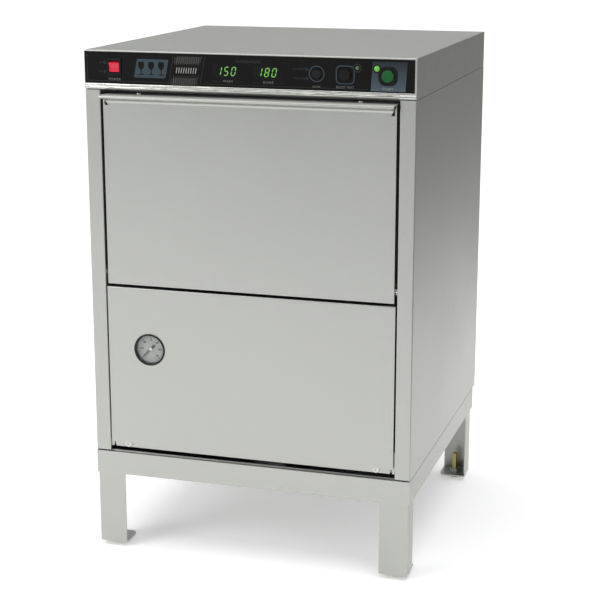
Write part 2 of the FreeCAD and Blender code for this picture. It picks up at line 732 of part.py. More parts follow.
def chamber_roof():
    plate = block((-CHAMBER_HALF - TANK_SHEET, CHAMBER_HALF + TANK_SHEET),
                  (CHAMBER_FRONT, CHAMBER_BACK + TANK_SHEET),
                  (CHAMBER_TOP, CHAMBER_TOP + TANK_SHEET))
    return plate.cut(rod(11.0, (0, CHAMBER_Y, CHAMBER_TOP - 1), (0, 0, 1), 5))


def chamber_front_frame():
    """Flat frame that the door's gasket closes against."""
    y = (FRONT + POST_DEPTH, CHAMBER_FRONT)
    plate = block((-HALF + SHEET, HALF - SHEET), y, (CHAMBER_BASE, PANEL_TOP - 1))
    return plate.cut(block((-MOUTH_HALF, MOUTH_HALF), (y[0] - 1, y[1] + 1),
                           (MOUTH_BASE, MOUTH_TOP)))


def frustum(top_half, top_y, top_z, low_half, low_z):
    """Solid between a rectangle at top_z and a square at low_z."""
    def ring(half, y, z):
        corners = [V(-half, y[0], z), V(half, y[0], z), V(half, y[1], z), V(-half, y[1], z)]
        return Part.makePolygon(corners + corners[:1])

    low_y = (CHAMBER_Y - low_half, CHAMBER_Y + low_half)
    return Part.makeLoft([ring(low_half, low_y, low_z), ring(top_half, top_y, top_z)], True, True)


def sump_tank():
    """Sloped floor over a square well that holds the wash water."""
    t = TANK_SHEET
    rim = SUMP_NECK - t
    top_y = (CHAMBER_FRONT, CHAMBER_BACK)
    outer = frustum(CHAMBER_HALF + t, (top_y[0], top_y[1] + t), CHAMBER_BASE, SUMP_HALF + t, rim)
    inner = frustum(CHAMBER_HALF, (top_y[0] + t, top_y[1]), CHAMBER_BASE, SUMP_HALF, SUMP_NECK)
    mouth_y = (CHAMBER_Y - SUMP_HALF, CHAMBER_Y + SUMP_HALF)
    mouth = block((-SUMP_HALF, SUMP_HALF), mouth_y, (rim, SUMP_NECK))
    funnel = outer.cut(inner).cut(mouth)
    well = open_box((-SUMP_HALF - t, SUMP_HALF + t), (mouth_y[0] - t, mouth_y[1] + t),
                    (SUMP_BASE, rim), t, ("z", 1))
    left, right, front, back, floor = well
    drain = rod(SUMP_DRAIN_RADIUS, (*STANDPIPE_AT, SUMP_BASE - 1), (0, 0, 1), 4)
    suction = rod(SUCTION_RADIUS, (SUCTION_X, PUMP_AT[1], SUMP_BASE - 1), (0, 0, 1), 4)
    return group(funnel, left, right, front, back, floor.cut(drain).cut(suction))


def scrap_screen():
    """Slotted tray over the sump, with holes for the hub and the standpipe."""
    half = SUMP_HALF + 4
    z = SUMP_NECK + 3
    plate = block((-half, half), (CHAMBER_Y - half, CHAMBER_Y + half), (z, z + 1.2))
    cuts = [rod(HUB_HOLE, (0, CHAMBER_Y, z - 1), (0, 0, 1), 4),
            rod(STANDPIPE_HOLE, (*STANDPIPE_AT, z - 1), (0, 0, 1), 4)]
    for column in range(-8, 9):
        x = column * 14.0
        for y in (CHAMBER_Y - 70, CHAMBER_Y + 70):
            near_pipe = abs(x - STANDPIPE_AT[0]) < 24 and y < CHAMBER_Y
            if not near_pipe:
                cuts.append(block((x - 2.5, x + 2.5), (y - 42, y + 42), (z - 1, z + 3)))
    return plate.cut(Part.makeCompound(cuts))


def rack_rails():
    """Angles along the side walls that the glass rack slides on."""
    y = (CHAMBER_FRONT + 8, CHAMBER_BACK - 8)
    shelf = block((-CHAMBER_HALF, -CHAMBER_HALF + 20), y, (RAIL_Z, RAIL_Z + TANK_SHEET))
    web = block((-CHAMBER_HALF, -CHAMBER_HALF + TANK_SHEET), y, (RAIL_Z + TANK_SHEET, RAIL_Z + 18))
    left = joined(shelf, web)
    return group(left, mirrored(left))


def spray_hubs():
    """Pedestal and hanger with the pins that the wash arms turn on."""
    def at(z):
        return (0, CHAMBER_Y, z)

    up = (0, 0, 1)
    lower = joined(rod(18, at(SUMP_BASE + TANK_SHEET), up, 550 - SUMP_BASE - TANK_SHEET),
                   rod(8, at(550), up, 24.4), rod(13, at(574.4), up, 6))
    upper = joined(rod(18, at(853.5), up, CHAMBER_TOP - 853.5), rod(8, at(835), up, 18.5),
                   rod(13, at(829), up, 6))
    return group(lower, upper)


def arm_bar(inset, z, corner):
    """Flat bar with round ends and round edges, inset from the arm's outside."""
    half_width = ARM_WIDTH / 2 - inset
    height = ARM_HEIGHT - 2 * inset
    straight = ARM_REACH - ARM_WIDTH / 2
    low = z + inset
    bar = joined(block((-straight, straight), (CHAMBER_Y - half_width, CHAMBER_Y + half_width),
                       (low, low + height)),
                 rod(half_width, (-straight, CHAMBER_Y, low), (0, 0, 1), height),
                 rod(half_width, (straight, CHAMBER_Y, low), (0, 0, 1), height))
    rim = [e for e in bar.Edges if abs(e.BoundBox.ZMin - e.BoundBox.ZMax) < 0.01]
    return bar.makeFillet(corner - inset, rim)


def wash_arm(z, nozzle_side):
    """Hollow arm with a hub and a row of jets on one face."""
    hub = rod(22, (0, CHAMBER_Y, z), (0, 0, 1), ARM_HEIGHT)
    jets = []
    ways = []
    for index, x in enumerate((-215, -165, -115, -65, 65, 115, 165, 215)):
        y = CHAMBER_Y + (4 if index % 2 else -4)
        start = z + ARM_HEIGHT - 1 if nozzle_side > 0 else z + 1
        jets.append(rod(4.5, (x, y, start), (0, 0, nozzle_side), 2.6))
        ways.append(rod(2.0, (x, y, start - 3 * nozzle_side), (0, 0, nozzle_side), 8))
    hollow = arm_bar(ARM_WALL, z, 5.0).cut(hub)
    arm = joined(arm_bar(0, z, 5.0), hub, *jets).cut(hollow).cut(Part.makeCompound(ways))
    return arm.cut(rod(8.1, (0, CHAMBER_Y, z - 2), (0, 0, 1), ARM_HEIGHT + 4))


def overflow_standpipe():
    """Tube that seats in the drain and is lifted to empty the tank."""
    x, y = STANDPIPE_AT
    base = SUMP_BASE + TANK_SHEET + 0.3
    body = tube(15.0, 12.5, (x, y, base), (0, 0, 1), 520 - base)
    grip = block((x - 14, x + 14), (y - 1.5, y + 1.5), (512, 528))
    return joined(body, grip)


def chamber():
    return {"chamber_wrap": chamber_wrap(), "chamber_roof": chamber_roof(),
            "chamber_front_frame": chamber_front_frame(), "sump_tank": sump_tank(),
            "scrap_screen": scrap_screen(), "rack_rails": rack_rails(),
            "spray_hubs": spray_hubs(), "lower_wash_arm": wash_arm(553.4, 1),
            "upper_wash_arm": wash_arm(836.6, -1), "overflow_standpipe": overflow_standpipe()}


# ---- machinery

def wash_pump():
    """Volute, motor and the rotor that turns inside both."""
    x, y, z = PUMP_AT
    left = (x - 22, y, z)
    volute = joined(rod(58, left, (1, 0, 0), 44), rod(20, (x - 40, y, z), (1, 0, 0), 18),
                    rod(17, (x, y + 41, z), (0, 0, 1), 60))
    volute = volute.cut(rod(48, (x - 18, y, z), (1, 0, 0), 36))
    volute = volute.cut(rod(14, (x - 41, y, z), (1, 0, 0), 24))
    volute = volute.cut(rod(11.5, (x, y + 41, z + 20), (0, 0, 1), 41))
    volute = volute.cut(rod(7.5, (x + 17, y, z), (1, 0, 0), 6))
    body = rod(62, (x + 22, y, z), (1, 0, 0), 165)
    fins = [tube(66, 62, (x + 50 + 14 * i, y, z), (1, 0, 0), 4) for i in range(8)]
    foot = block((x + 60, x + 150), (y - 50, y + 50), (PAN_TOP, z - 50))
    motor = joined(body, foot, *fins)
    motor = motor.cut(rod(36, (x + 40, y, z), (1, 0, 0), 130))
    motor = motor.cut(rod(7.5, (x + 21, y, z), (1, 0, 0), 20))
    impeller = joined(rod(42, (x - 8, y, z), (1, 0, 0), 16), rod(7, (x - 12, y, z), (1, 0, 0), 170),
                      rod(35, (x + 50, y, z), (1, 0, 0), 100))
    return {"wash_pump_volute": volute, "wash_pump_motor": motor, "wash_pump_rotor": impeller}


def wash_piping():
    """Suction elbow, and the manifold that feeds both spray hubs."""
    x, y, z = PUMP_AT
    suction = [(x - 40, y, z), (x - 70, y, z), (x - 70, y, SUMP_BASE)]
    out_y = y + 41
    low = 400.0
    high = 905.0
    riser = [(x, out_y, z + 60), (x, out_y, low), (x, RISER_Y, low), (x, RISER_Y, high),
             (x, CHAMBER_Y, high), (0, CHAMBER_Y, high), (0, CHAMBER_Y, CHAMBER_TOP + 1.5)]
    feed = [(x, out_y + 70, low), (0, out_y + 70, low), (0, CHAMBER_Y, low),
            (0, CHAMBER_Y, SUMP_BASE)]
    return group(hollow_pipe([suction], 13.0, 2.0, 22), hollow_pipe([riser, feed], 10.0, 2.0, 19))


def booster_heater():
    """Upright rinse tank with its element flange on top."""
    x, y = -200.0, FRONT + 470
    tank = rod(78, (x, y, 206), (0, 0, 1), 200)
    tank = tank.makeFillet(18, [e for e in tank.Edges if abs(e.BoundBox.ZMin - e.BoundBox.ZMax) < 0.01])
    foot = tube(60, 56, (x, y, PAN_TOP), (0, 0, 1), 14)
    flange = rod(34, (x, y, 405), (0, 0, 1), 9)
    studs = [rod(4, (x + 18 * math.cos(a), y + 18 * math.sin(a), 413), (0, 0, 1), 16)
             for a in (0.5, 2.6, 4.7)]
    stubs = [rod(9, (x, y + side * 56, 400), (0, 0, 1), 22) for side in (-1, 1)]
    ways = [rod(7, (x, y + side * 56, 390), (0, 0, 1), 40) for side in (-1, 1)]
    water = rod(76, (x, y, 208), (0, 0, 1), 196)
    water = water.makeFillet(16, [e for e in water.Edges
                                  if abs(e.BoundBox.ZMin - e.BoundBox.ZMax) < 0.01])
    return joined(tank, foot, flange, *studs, *stubs).cut(Part.makeCompound([water] + ways))


def dosing_pump(x):
    """Peristaltic pump head on a motor, and its three-roller rotor."""
    y, z = DOSING_Y, DOSING_Z
    head = joined(rod(28, (x, y, z), (0, 1, 0), 24), rod(20, (x, y + 24, z), (0, 1, 0), 66),
                  block((x - 12, x + 12), (y + 30, y + 70), (PAN_TOP, z)))
    head = head.cut(rod(23, (x, y - 1, z), (0, 1, 0), 21)).cut(rod(3.3, (x, y, z), (0, 1, 0), 44))
    rotor = joined(rod(8, (x, y + 2, z), (0, 1, 0), 16), rod(3, (x, y + 18, z), (0, 1, 0), 24),
                   *[rod(5, (x + 14 * math.sin(a), y + 2, z + 14 * math.cos(a)), (0, 1, 0), 16)
                     for a in (0, 2 * math.pi / 3, 4 * math.pi / 3)],
                   rod(20, (x, y + 1, z), (0, 1, 0), 2))
    return head, rotor


def contactor_box():
    """Electrical box on the cabinet's floor."""
    x, y, z = (135, 270), (FRONT + 70, FRONT + 190), (PAN_TOP, 395)
    shell = block(x, y, z)
    hollow = block((x[0] + 1.2, x[1] - 1.2), (y[0] + 1.2, y[1] - 1.2), (z[0] - 1, z[1] - 1.2))
    lid = block((x[0] + 6, x[1] - 6), (y[0] - 1.5, y[0]), (z[0] + 8, z[1] - 8))
    return joined(shell.cut(hollow), lid)


def drain_pipe():
    """Three lengths: down from the sump, round a bend, out to a hose tail."""
    x, y = STANDPIPE_AT
    inside = REAR - BACK_INSET
    outside = inside + SHEET
    tail_start = outside + COLLAR
    end = REAR + REAR_REACH
    elbow_top = DRAIN_Z + DRAIN_BEND + ELBOW_SPIGOT
    elbow_end = y + DRAIN_BEND + ELBOW_SPIGOT

    def rearward(radius, start, stop):
        return tube(radius, DRAIN_BORE, (x, start, DRAIN_Z), (0, 1, 0), stop - start)

    spout = tube(DRAIN_RADIUS, DRAIN_BORE, (x, y, elbow_top), (0, 0, 1), SUMP_BASE - elbow_top)
    route = [(x, y, elbow_top), (x, y, DRAIN_Z), (x, elbow_end, DRAIN_Z)]
    elbow = hollow_pipe([route], DRAIN_RADIUS, DRAIN_RADIUS - DRAIN_BORE, DRAIN_BEND)
    run = joined(rearward(DRAIN_RADIUS, elbow_end, tail_start),
                 rearward(DRAIN_COLLAR_RADIUS, inside - COLLAR, inside),
                 rearward(DRAIN_COLLAR_RADIUS, outside, tail_start),
                 rearward(DRAIN_TAIL_RADIUS, tail_start, end))
    return group(spout, elbow, run)


def inlet_valve():
    """Solenoid fill valve; the panel is held between its body and its collar."""
    x, z = INLET_AT
    seat = REAR - BACK_INSET
    outside = seat + SHEET
    port_start = outside + COLLAR
    port_end = REAR + INLET_REACH
    body = block((x - 20, x + 20), (seat - 34, seat), (z - 22, z + 22))
    coil = rod(14, (x, seat - 17, z + 22), (0, 0, 1), 38)
    neck = rod(INLET_RADIUS - 0.8, (x, seat, z), (0, 1, 0), SHEET)
    collar = rod(INLET_COLLAR_RADIUS, (x, outside, z), (0, 1, 0), COLLAR)
    port = rod(INLET_RADIUS, (x, port_start, z), (0, 1, 0), port_end - port_start)
    way = rod(INLET_BORE, (x, seat - 20, z), (0, 1, 0), port_end - seat + 20)
    return joined(body, coil, neck, collar, port).cut(way)


def power_gland():
    """Empty cable entry in the back panel."""
    x, z = GLAND_AT
    seat = REAR - BACK_INSET
    outside = seat + SHEET
    neck = rod(GLAND_HOLE, (x, seat - 12, z), (0, 1, 0), BACK_INSET + GLAND_REACH + 12)
    nut = hexagon(32, (0, 0, 0), 6)
    nut.rotate(V(0, 0, 0), V(1, 0, 0), -90)
    inner_nut = nut.copy()
    nut.translate(V(x, outside, z))
    inner_nut.translate(V(x, seat - 6, z))
    return joined(neck, nut, inner_nut).cut(rod(GLAND_BORE, (x, seat - 20, z), (0, 1, 0), 60))


def machinery():
    pieces = wash_pump()
    housings = []
    for x, name in zip(DOSING_X, ("detergent_pump_rotor", "rinse_aid_pump_rotor")):
        head, rotor = dosing_pump(x)
        housings.append(head)
        pieces[name] = rotor
    pieces["dosing_pump_housings"] = group(*housings)
    pieces["wash_piping"] = wash_piping()
    pieces["booster_heater"] = booster_heater()
    pieces["contactor_box"] = contactor_box()
    pieces["drain_pipe"] = drain_pipe()
    pieces["inlet_valve"] = inlet_valve()
    pieces["power_gland"] = power_gland()
    return pieces


def main():
    os.makedirs("parts", exist_ok=True)
    pieces = {}
    for assembly in (stand, cabinet, controls, door, gauge, chamber, machinery):
        pieces.update(assembly())
    for name, shape in sorted(pieces.items()):
        shape.exportStep(os.path.join("parts", name + ".step"))
    print(len(pieces), "pieces")


main()
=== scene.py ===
"""Looks of the under-counter glasswasher: materials, printed front plate, light and camera.

Metres. +X is to the right of a person facing the machine, +Y to the back and +Z up.
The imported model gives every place; sizes of printed details are in millimetres below.
"""
import json
import math

import bmesh
import bpy
from mathutils import Matrix, Vector


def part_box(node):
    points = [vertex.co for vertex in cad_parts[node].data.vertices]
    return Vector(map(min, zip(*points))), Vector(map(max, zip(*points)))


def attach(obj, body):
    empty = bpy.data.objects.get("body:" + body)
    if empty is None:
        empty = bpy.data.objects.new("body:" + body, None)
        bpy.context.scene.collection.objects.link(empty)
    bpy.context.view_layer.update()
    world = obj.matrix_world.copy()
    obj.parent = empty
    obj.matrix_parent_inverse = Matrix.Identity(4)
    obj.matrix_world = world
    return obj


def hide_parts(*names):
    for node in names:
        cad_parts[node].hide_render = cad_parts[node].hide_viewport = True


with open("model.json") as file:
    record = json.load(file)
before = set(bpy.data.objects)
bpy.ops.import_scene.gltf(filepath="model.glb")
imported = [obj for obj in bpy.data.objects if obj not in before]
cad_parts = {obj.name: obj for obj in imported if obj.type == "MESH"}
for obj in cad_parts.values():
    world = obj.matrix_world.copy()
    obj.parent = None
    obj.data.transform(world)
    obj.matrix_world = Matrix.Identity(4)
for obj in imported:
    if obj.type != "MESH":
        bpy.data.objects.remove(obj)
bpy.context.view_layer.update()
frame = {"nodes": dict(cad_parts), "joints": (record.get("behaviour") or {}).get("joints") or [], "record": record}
NODES = frame["nodes"]
RECORD = frame["record"]
SLOT_OF = {part["node"]: part["material_slot"] for part in RECORD["subparts"]}
PIVOT = {joint["name"]: Vector(joint["pos_m"]) for joint in frame["joints"] if "pos_m" in joint}
ROOT = "cabinet"
MM = 0.001


def centre(node):
    low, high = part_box(node)
    return (low + high) / 2


def part_boxes(node):
    """Boxes of a CAD node's separate solids, from left to right."""
    shape = bmesh.new()
    shape.from_mesh(NODES[node].data)
    bmesh.ops.remove_doubles(shape, verts=shape.verts, dist=1e-6)
    left = set(shape.verts)
    boxes = []
    while left:
        stack = [left.pop()]
        points = []
        while stack:
            vert = stack.pop()
            points.append(vert.co.copy())
            for edge in vert.link_edges:
                other = edge.other_vert(vert)
                if other in left:
                    left.remove(other)
                    stack.append(other)
        boxes.append((Vector(map(min, *points)), Vector(map(max, *points))))
    shape.free()
    return sorted(boxes, key=lambda box: box[0].x)


def centre_of(box):
    """Middle of a box as seen from the front, (x, z)."""
    return ((box[0].x + box[1].x) / 2, (box[0].z + box[1].z) / 2)


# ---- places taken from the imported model

PLATE_LOW, PLATE_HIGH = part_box("control_overlay")
FACE = PLATE_LOW.y
PRINT = 0.15 * MM
WASH_WINDOW, RINSE_WINDOW, BOOST_LAMP, START_LAMP = part_boxes("fascia_lenses")
POWER = PIVOT["power_switch"]
PRIME = PIVOT["prime_switch"]
BOOST = centre("boost_button")
START = centre("start_button")


# ---- material graphs

def srgb(red, green, blue):
    """Linear colour of an 8-bit display colour."""
    def linear(value):
        value /= 255.0
        return value / 12.92 if value <= 0.04045 else ((value + 0.055) / 1.055) ** 2.4
    return (linear(red), linear(green), linear(blue), 1.0)


class Graph:
    """A new material and short ways to add nodes to it."""

    def __init__(self, name):
        self.material = bpy.data.materials.new(name)
        self.material.use_nodes = True
        self.tree = self.material.node_tree
        self.shader = self.tree.nodes["Principled BSDF"]

    def add(self, kind, settings=(), inputs=()):
        node = self.tree.nodes.new(kind)
        for key, value in dict(settings).items():
            setattr(node, key, value)
        for key, value in dict(inputs).items():
            if isinstance(value, bpy.types.NodeSocket):
                self.tree.links.new(value, node.inputs[key])
            else:
                node.inputs[key].default_value = value
        return node

    def feed(self, socket, value):
        if isinstance(value, bpy.types.NodeSocket):
            self.tree.links.new(value, self.shader.inputs[socket])
        else:
            self.shader.inputs[socket].default_value = value

    def place(self, scale):
        """Object coordinates stretched by a scale per axis."""
        where = self.add("ShaderNodeTexCoord").outputs["Object"]
        mapping = self.add("ShaderNodeMapping", (), {"Vector": where, "Scale": scale})
        return mapping.outputs["Vector"]

    def noise(self, scale, detail=4.0, stretch=(1, 1, 1)):
        inputs = {"Vector": self.place(stretch), "Scale": scale, "Detail": detail}
        return self.add("ShaderNodeTexNoise", (), inputs).outputs["Fac"]

    def span(self, value, low, high, source=(0.3, 0.7)):
        inputs = {"Value": value, "From Min": source[0], "From Max": source[1],
                  "To Min": low, "To Max": high}
        return self.add("ShaderNodeMapRange", (), inputs).outputs["Result"]

    def mix(self, factor, first, second):
        inputs = {"Factor": factor, 6: first, 7: second}
        return self.add("ShaderNodeMix", {"data_type": "RGBA"}, inputs).outputs[2]

    def edges(self, radius):
        """Rounded-edge normal, and a mask that is 1 along the edges."""
        soft = self.add("ShaderNodeBevel", {"samples": 4}, {"Radius": radius}).outputs["Normal"]
        flat = self.add("ShaderNodeNewGeometry").outputs["Normal"]
        product = self.add("ShaderNodeVectorMath", {"operation": "DOT_PRODUCT"},
                           {0: soft, 1: flat}).outputs["Value"]
        return soft, self.span(product, 1.0, 0.0, (0.80, 0.98))

    def bump(self, height, strength, normal, distance=0.0005):
        inputs = {"Height": height, "Strength": strength, "Distance": distance, "Normal": normal}
        return self.add("ShaderNodeBump", (), inputs).outputs["Normal"]


def shade(colour, factor):
    return tuple(channel * factor for channel in colour[:3]) + (1.0,)


def steel(name, colour, roughness, grain, smudge=3.0, mottle=0.0, rubbed_above=None):
    """Stainless sheet: fine grain along one axis, soft smudges and a painted highlight that makes the colour
    lighter along the edges.

    Above a height, if one is given, the surface is dulled and greyed by hands.
    """
    graph = Graph(name)
    soft, edge = graph.edges(0.7 * MM)
    streaks = graph.noise(9.0, 6.0, grain)
    cloud = graph.noise(smudge, 3.0)
    tone = graph.mix(graph.span(cloud, 0, 1), shade(colour, 0.965), colour)
    # Painted highlight: the edge mask makes the steel's colour 12 per cent lighter, standing in for light caught
    # by rounded sheet edges.
    tone = graph.mix(edge, tone, shade(colour, 1.12))
    graph.feed("Base Color", tone)
    rough = graph.add("ShaderNodeMath", {"operation": "ADD"},
                      {0: graph.span(streaks, roughness - 0.04, roughness + 0.04),
                       1: graph.span(cloud, -0.02, 0.03)}).outputs[0]
    graph.feed("Metallic", 1.0)
    if rubbed_above is not None:
        height = graph.add("ShaderNodeSeparateXYZ", (), {"Vector": graph.place((1, 1, 1))}).outputs["Z"]
        rubbed = (rubbed_above, rubbed_above + 1 * MM)
        dulled = graph.span(height, 0.0, 0.26, rubbed)
        graph.feed("Metallic", graph.span(height, 1.0, 0.35, rubbed))
        rough = graph.add("ShaderNodeMath", {"operation": "ADD"}, {0: rough, 1: dulled}).outputs[0]
    graph.feed("Roughness", rough)
    normal = graph.bump(streaks, 0.05, soft, 0.0002)
    if mottle:
        normal = graph.bump(graph.noise(1.0, 2.0, (18, 60, 160)), mottle, normal, 0.002)
    graph.feed("Normal", normal)
    return graph.material


def moulded(name, colour, roughness, texture=900.0, strength=0.12, coat=0.0, wear=1.5, shine=0.4):
    """Moulded plastic, rubber or film: fine texture, uneven gloss and rubbed edges."""
    graph = Graph(name)
    soft, edge = graph.edges(0.4 * MM)
    cloud = graph.noise(14.0, 4.0)
    fine = graph.noise(texture, 2.0)
    tone = graph.mix(graph.span(cloud, 0, 1), shade(colour, 0.86), colour)
    graph.feed("Base Color", graph.mix(edge, tone, shade(colour, wear)))
    graph.feed("Roughness", graph.span(cloud, roughness - 0.05, roughness + 0.06))
    graph.feed("Specular IOR Level", shine)
    graph.feed("Coat Weight", coat)
    graph.feed("Coat Roughness", 0.12)
    graph.feed("Normal", graph.bump(fine, strength, soft, 0.0001))
    return graph.material


def printed(name, colour, roughness=0.5, spread=0.15):
    """Screen-printed ink with a slightly uneven tone."""
    graph = Graph(name)
    cloud = graph.noise(160.0, 3.0)
    graph.feed("Base Color", graph.mix(graph.span(cloud, 0, 1), shade(colour, 1 - spread), colour))
    graph.feed("Roughness", graph.span(cloud, roughness - 0.06, roughness + 0.06))
    graph.feed("Specular IOR Level", 0.15)
    graph.feed("Normal", graph.bump(cloud, 0.05, graph.add("ShaderNodeNewGeometry").outputs["Normal"]))
    return graph.material


def lit(name, colour, core, middle, reach, strength, roughness=0.3):
    """Translucent lit plastic, brighter and paler round one point."""
    graph = Graph(name)
    distance = graph.add("ShaderNodeVectorMath", {"operation": "DISTANCE"},
                         {0: graph.place((1, 1, 1)), 1: middle}).outputs["Value"]
    glow = graph.span(distance, 1.0, 0.0, (0.0, reach))
    grit = graph.noise(700.0, 2.0)
    tone = graph.mix(glow, colour, core)
    tone = graph.mix(graph.span(grit, 0.0, 0.25), tone, shade(colour, 0.6))
    graph.feed("Base Color", tone)
    graph.feed("Emission Color", tone)
    graph.feed("Emission Strength", strength)
    graph.feed("Roughness", graph.span(grit, roughness - 0.05, roughness + 0.08))
    graph.feed("Normal", graph.edges(0.4 * MM)[0])
    return graph.material


def clear_window(name):
    """Thin clear cover that shows what is behind it."""
    graph = Graph(name)
    dust = graph.noise(60.0, 3.0)
    graph.feed("Base Color", graph.mix(graph.span(dust, 0, 1), srgb(235, 238, 236), srgb(250, 250, 250)))
    graph.feed("Alpha", 0.06)
    graph.feed("Roughness", graph.span(dust, 0.03, 0.09))
    graph.feed("Normal", graph.bump(dust, 0.02, graph.edges(0.4 * MM)[0]))
    return graph.material


def blue_panel(name, low, high):
    """Printed panel, darker towards its top, with a fine speckle."""
    graph = Graph(name)
    split = graph.add("ShaderNodeSeparateXYZ", (), {"Vector": graph.place((1, 1, 1))})
    rise = graph.span(split.outputs["Z"], 0.0, 1.0, (low, high))
    tone = graph.mix(rise, srgb(74, 90, 100), srgb(33, 39, 43))
    speckle = graph.noise(420.0, 2.0)
    graph.feed("Base Color", graph.mix(graph.span(speckle, 0, 0.35), tone, srgb(52, 62, 70)))
    graph.feed("Roughness", graph.span(speckle, 0.42, 0.55))
    graph.feed("Specular IOR Level", 0.15)
    graph.feed("Normal", graph.bump(speckle, 0.04, graph.edges(0.2 * MM)[0]))
    return graph.material


STEEL = srgb(179, 180, 175)
FRONT_STEEL = steel("front_steel", STEEL, 0.34, (6, 6, 260))
SIDE_STEEL = steel("side_steel", STEEL, 0.36, (260, 260, 6))
DOOR_STEEL = steel("door_steel", STEEL, 0.34, (6, 6, 260), rubbed_above=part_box("door_skin")[1].z - 1.5 * MM)
HOOD_STEEL = steel("hood_steel", STEEL, 0.38, (260, 6, 6))
# Painted highlight: the hem is the hood's own steel made 1.3 times lighter, standing in for the bright reflection
# along its rolled bands.
HEM_STEEL_PAINTED_HIGHLIGHT = steel("hem_steel_painted_highlight", shade(STEEL, 1.3), 0.16, (6, 60, 300), 40.0, 0.6)
TANK_STEEL = steel("tank_steel", srgb(178, 179, 176), 0.30, (6, 6, 200), 6.0)
SILVER_INK = printed("silver_ink", srgb(150, 152, 148))
DIM_INK = printed("dim_ink", srgb(60, 64, 64))
WORD_INK = printed("word_ink", srgb(112, 114, 110))
PATCH_INK = printed("patch_ink", srgb(104, 106, 102))
BLUE_INK = printed("blue_ink", srgb(57, 71, 80), 0.45)
ICON_INK = printed("icon_ink", srgb(50, 62, 72), 0.45)
DARK_INK = printed("dark_ink", srgb(28, 30, 31), 0.45)
DIAL_INK = printed("dial_ink", srgb(160, 162, 158), 0.6, 0.06)
TICK_INK = printed("tick_ink", srgb(14, 16, 16), 0.6)
BRASS = steel("foot_brass", srgb(176, 160, 92), 0.30, (200, 200, 12), 30.0)
SCREW_STEEL = steel("screw_steel", srgb(196, 196, 192), 0.24, (60, 60, 60), 60.0)

BY_SLOT = {
    "stainless": SIDE_STEEL,
    "tank_steel": TANK_STEEL,
    "fixings": SCREW_STEEL,
    "foot_brass": BRASS,
    "overlay_black": moulded("overlay_film", srgb(18, 18, 17), 0.42, 500.0, 0.03, 0.0, 1.2, 0.10),
    "switch_black": moulded("switch_black", srgb(15, 16, 16), 0.36, 1200.0, 0.08, shine=0.2),
    "rocker_red": lit("rocker_red", srgb(208, 22, 44), srgb(206, 46, 90), POWER, 9 * MM, 0.08),
    "button_green": moulded("button_green", srgb(12, 86, 34), 0.34, 1200.0, 0.06, 0.0, 1.2, 0.3),
    "lens": moulded("window_tint", srgb(18, 20, 19), 0.26, 900.0, 0.01, 0.0, 1.1, 0.15),
    "board_green": moulded("board_green", srgb(24, 84, 48), 0.45, 300.0, 0.15),
    "gauge_black": moulded("gauge_black", srgb(30, 33, 32), 0.34, 900.0, 0.08, shine=0.3),
    "window_glass": clear_window("window_glass"),
    "gasket_rubber": moulded("gasket_rubber", srgb(40, 40, 40), 0.66, 500.0, 0.25),
    "motor_paint": moulded("motor_paint", srgb(98, 104, 108), 0.42, 240.0, 0.25, 0.2, 1.3),
    "pump_plastic": moulded("pump_plastic", srgb(52, 54, 58), 0.48, 500.0, 0.2),
    "heater_steel": steel("heater_steel", srgb(176, 178, 178), 0.28, (200, 200, 8), 9.0),
    "rotor_steel": steel("rotor_steel", srgb(168, 168, 168), 0.26, (240, 8, 8), 20.0),
}
FRONT_GRAIN = ("access_panel", "bottom_cross_rail", "stand_front_rail",
               "stand_rear_rail", "back_panel")


def dress_cad_nodes():
    """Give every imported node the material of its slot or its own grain."""
    for name, node in NODES.items():
        material = BY_SLOT[SLOT_OF[name]]
        if name in FRONT_GRAIN:
            material = FRONT_STEEL
        material = {"hood": HOOD_STEEL, "door_skin": DOOR_STEEL}.get(name, material)
        node.data.materials.clear()
        node.data.materials.append(material)


# ---- mesh making

def to_front(point):
    """A drawing's (across, up, out) as a place on the machine's front."""
    return Vector((point[0], -point[2], point[1]))


def curve_mesh(data):
    """Filled mesh of a curve or text, still in its own drawing plane."""
    holder = bpy.data.objects.new("drawing", data)
    bpy.context.scene.collection.objects.link(holder)
    bpy.context.view_layer.update()
    graph = bpy.context.evaluated_depsgraph_get()
    mesh = bpy.data.meshes.new_from_object(holder.evaluated_get(graph))
    bpy.data.objects.remove(holder)
    return mesh


def plate_mesh(loops, depth, bevel=0.0):
    """Plate with holes from closed loops of (x, z), its back at 0 and its face at depth."""
    data = bpy.data.curves.new("plate", "CURVE")
    data.dimensions = "2D"
    data.fill_mode = "BOTH"
    data.extrude = depth / 2 - bevel
    data.bevel_depth = bevel
    data.bevel_resolution = 2
    data.offset = -bevel
    for loop in loops:
        spline = data.splines.new("POLY")
        spline.points.add(len(loop) - 1)
        for point, (x, z) in zip(spline.points, loop):
            point.co = (x, z, 0, 1)
        spline.use_cyclic_u = True
    mesh = curve_mesh(data)
    mesh.transform(Matrix.Translation((0, 0, depth / 2)))
    return mesh


def text_mesh(text, middle, width, height, depth, weight=0.0):
    """Lettering scaled to fit a width and a cap height round a middle point."""
    data = bpy.data.curves.new("text", "FONT")
    data.body = text
    data.offset = weight
    data.extrude = depth / 2
    data.space_character = 1.15
    mesh = curve_mesh(data)
    xs = [v.co.x for v in mesh.vertices]
    ys = [v.co.y for v in mesh.vertices]
    scale = Matrix.Diagonal((width / (max(xs) - min(xs)), height / (max(ys) - min(ys)), 1, 1))
    shift = Matrix.Translation((-(max(xs) + min(xs)) / 2, -(max(ys) + min(ys)) / 2, depth / 2))
    mesh.transform(Matrix.Translation((middle[0], middle[1], 0)) @ scale @ shift)
    return mesh


def piece(name, meshes, material, body=ROOT, y=FACE):
    """One object from drawing-plane meshes, standing out from the plane at y."""
    whole = bmesh.new()
    for mesh in meshes:
        whole.from_mesh(mesh)
        bpy.data.meshes.remove(mesh)
    bmesh.ops.remove_doubles(whole, verts=whole.verts, dist=1e-7)
    for vert in whole.verts:
        vert.co = to_front(vert.co) + Vector((0, y, 0))
    bmesh.ops.recalc_face_normals(whole, faces=whole.faces)
    return finished(name, whole, material, body)


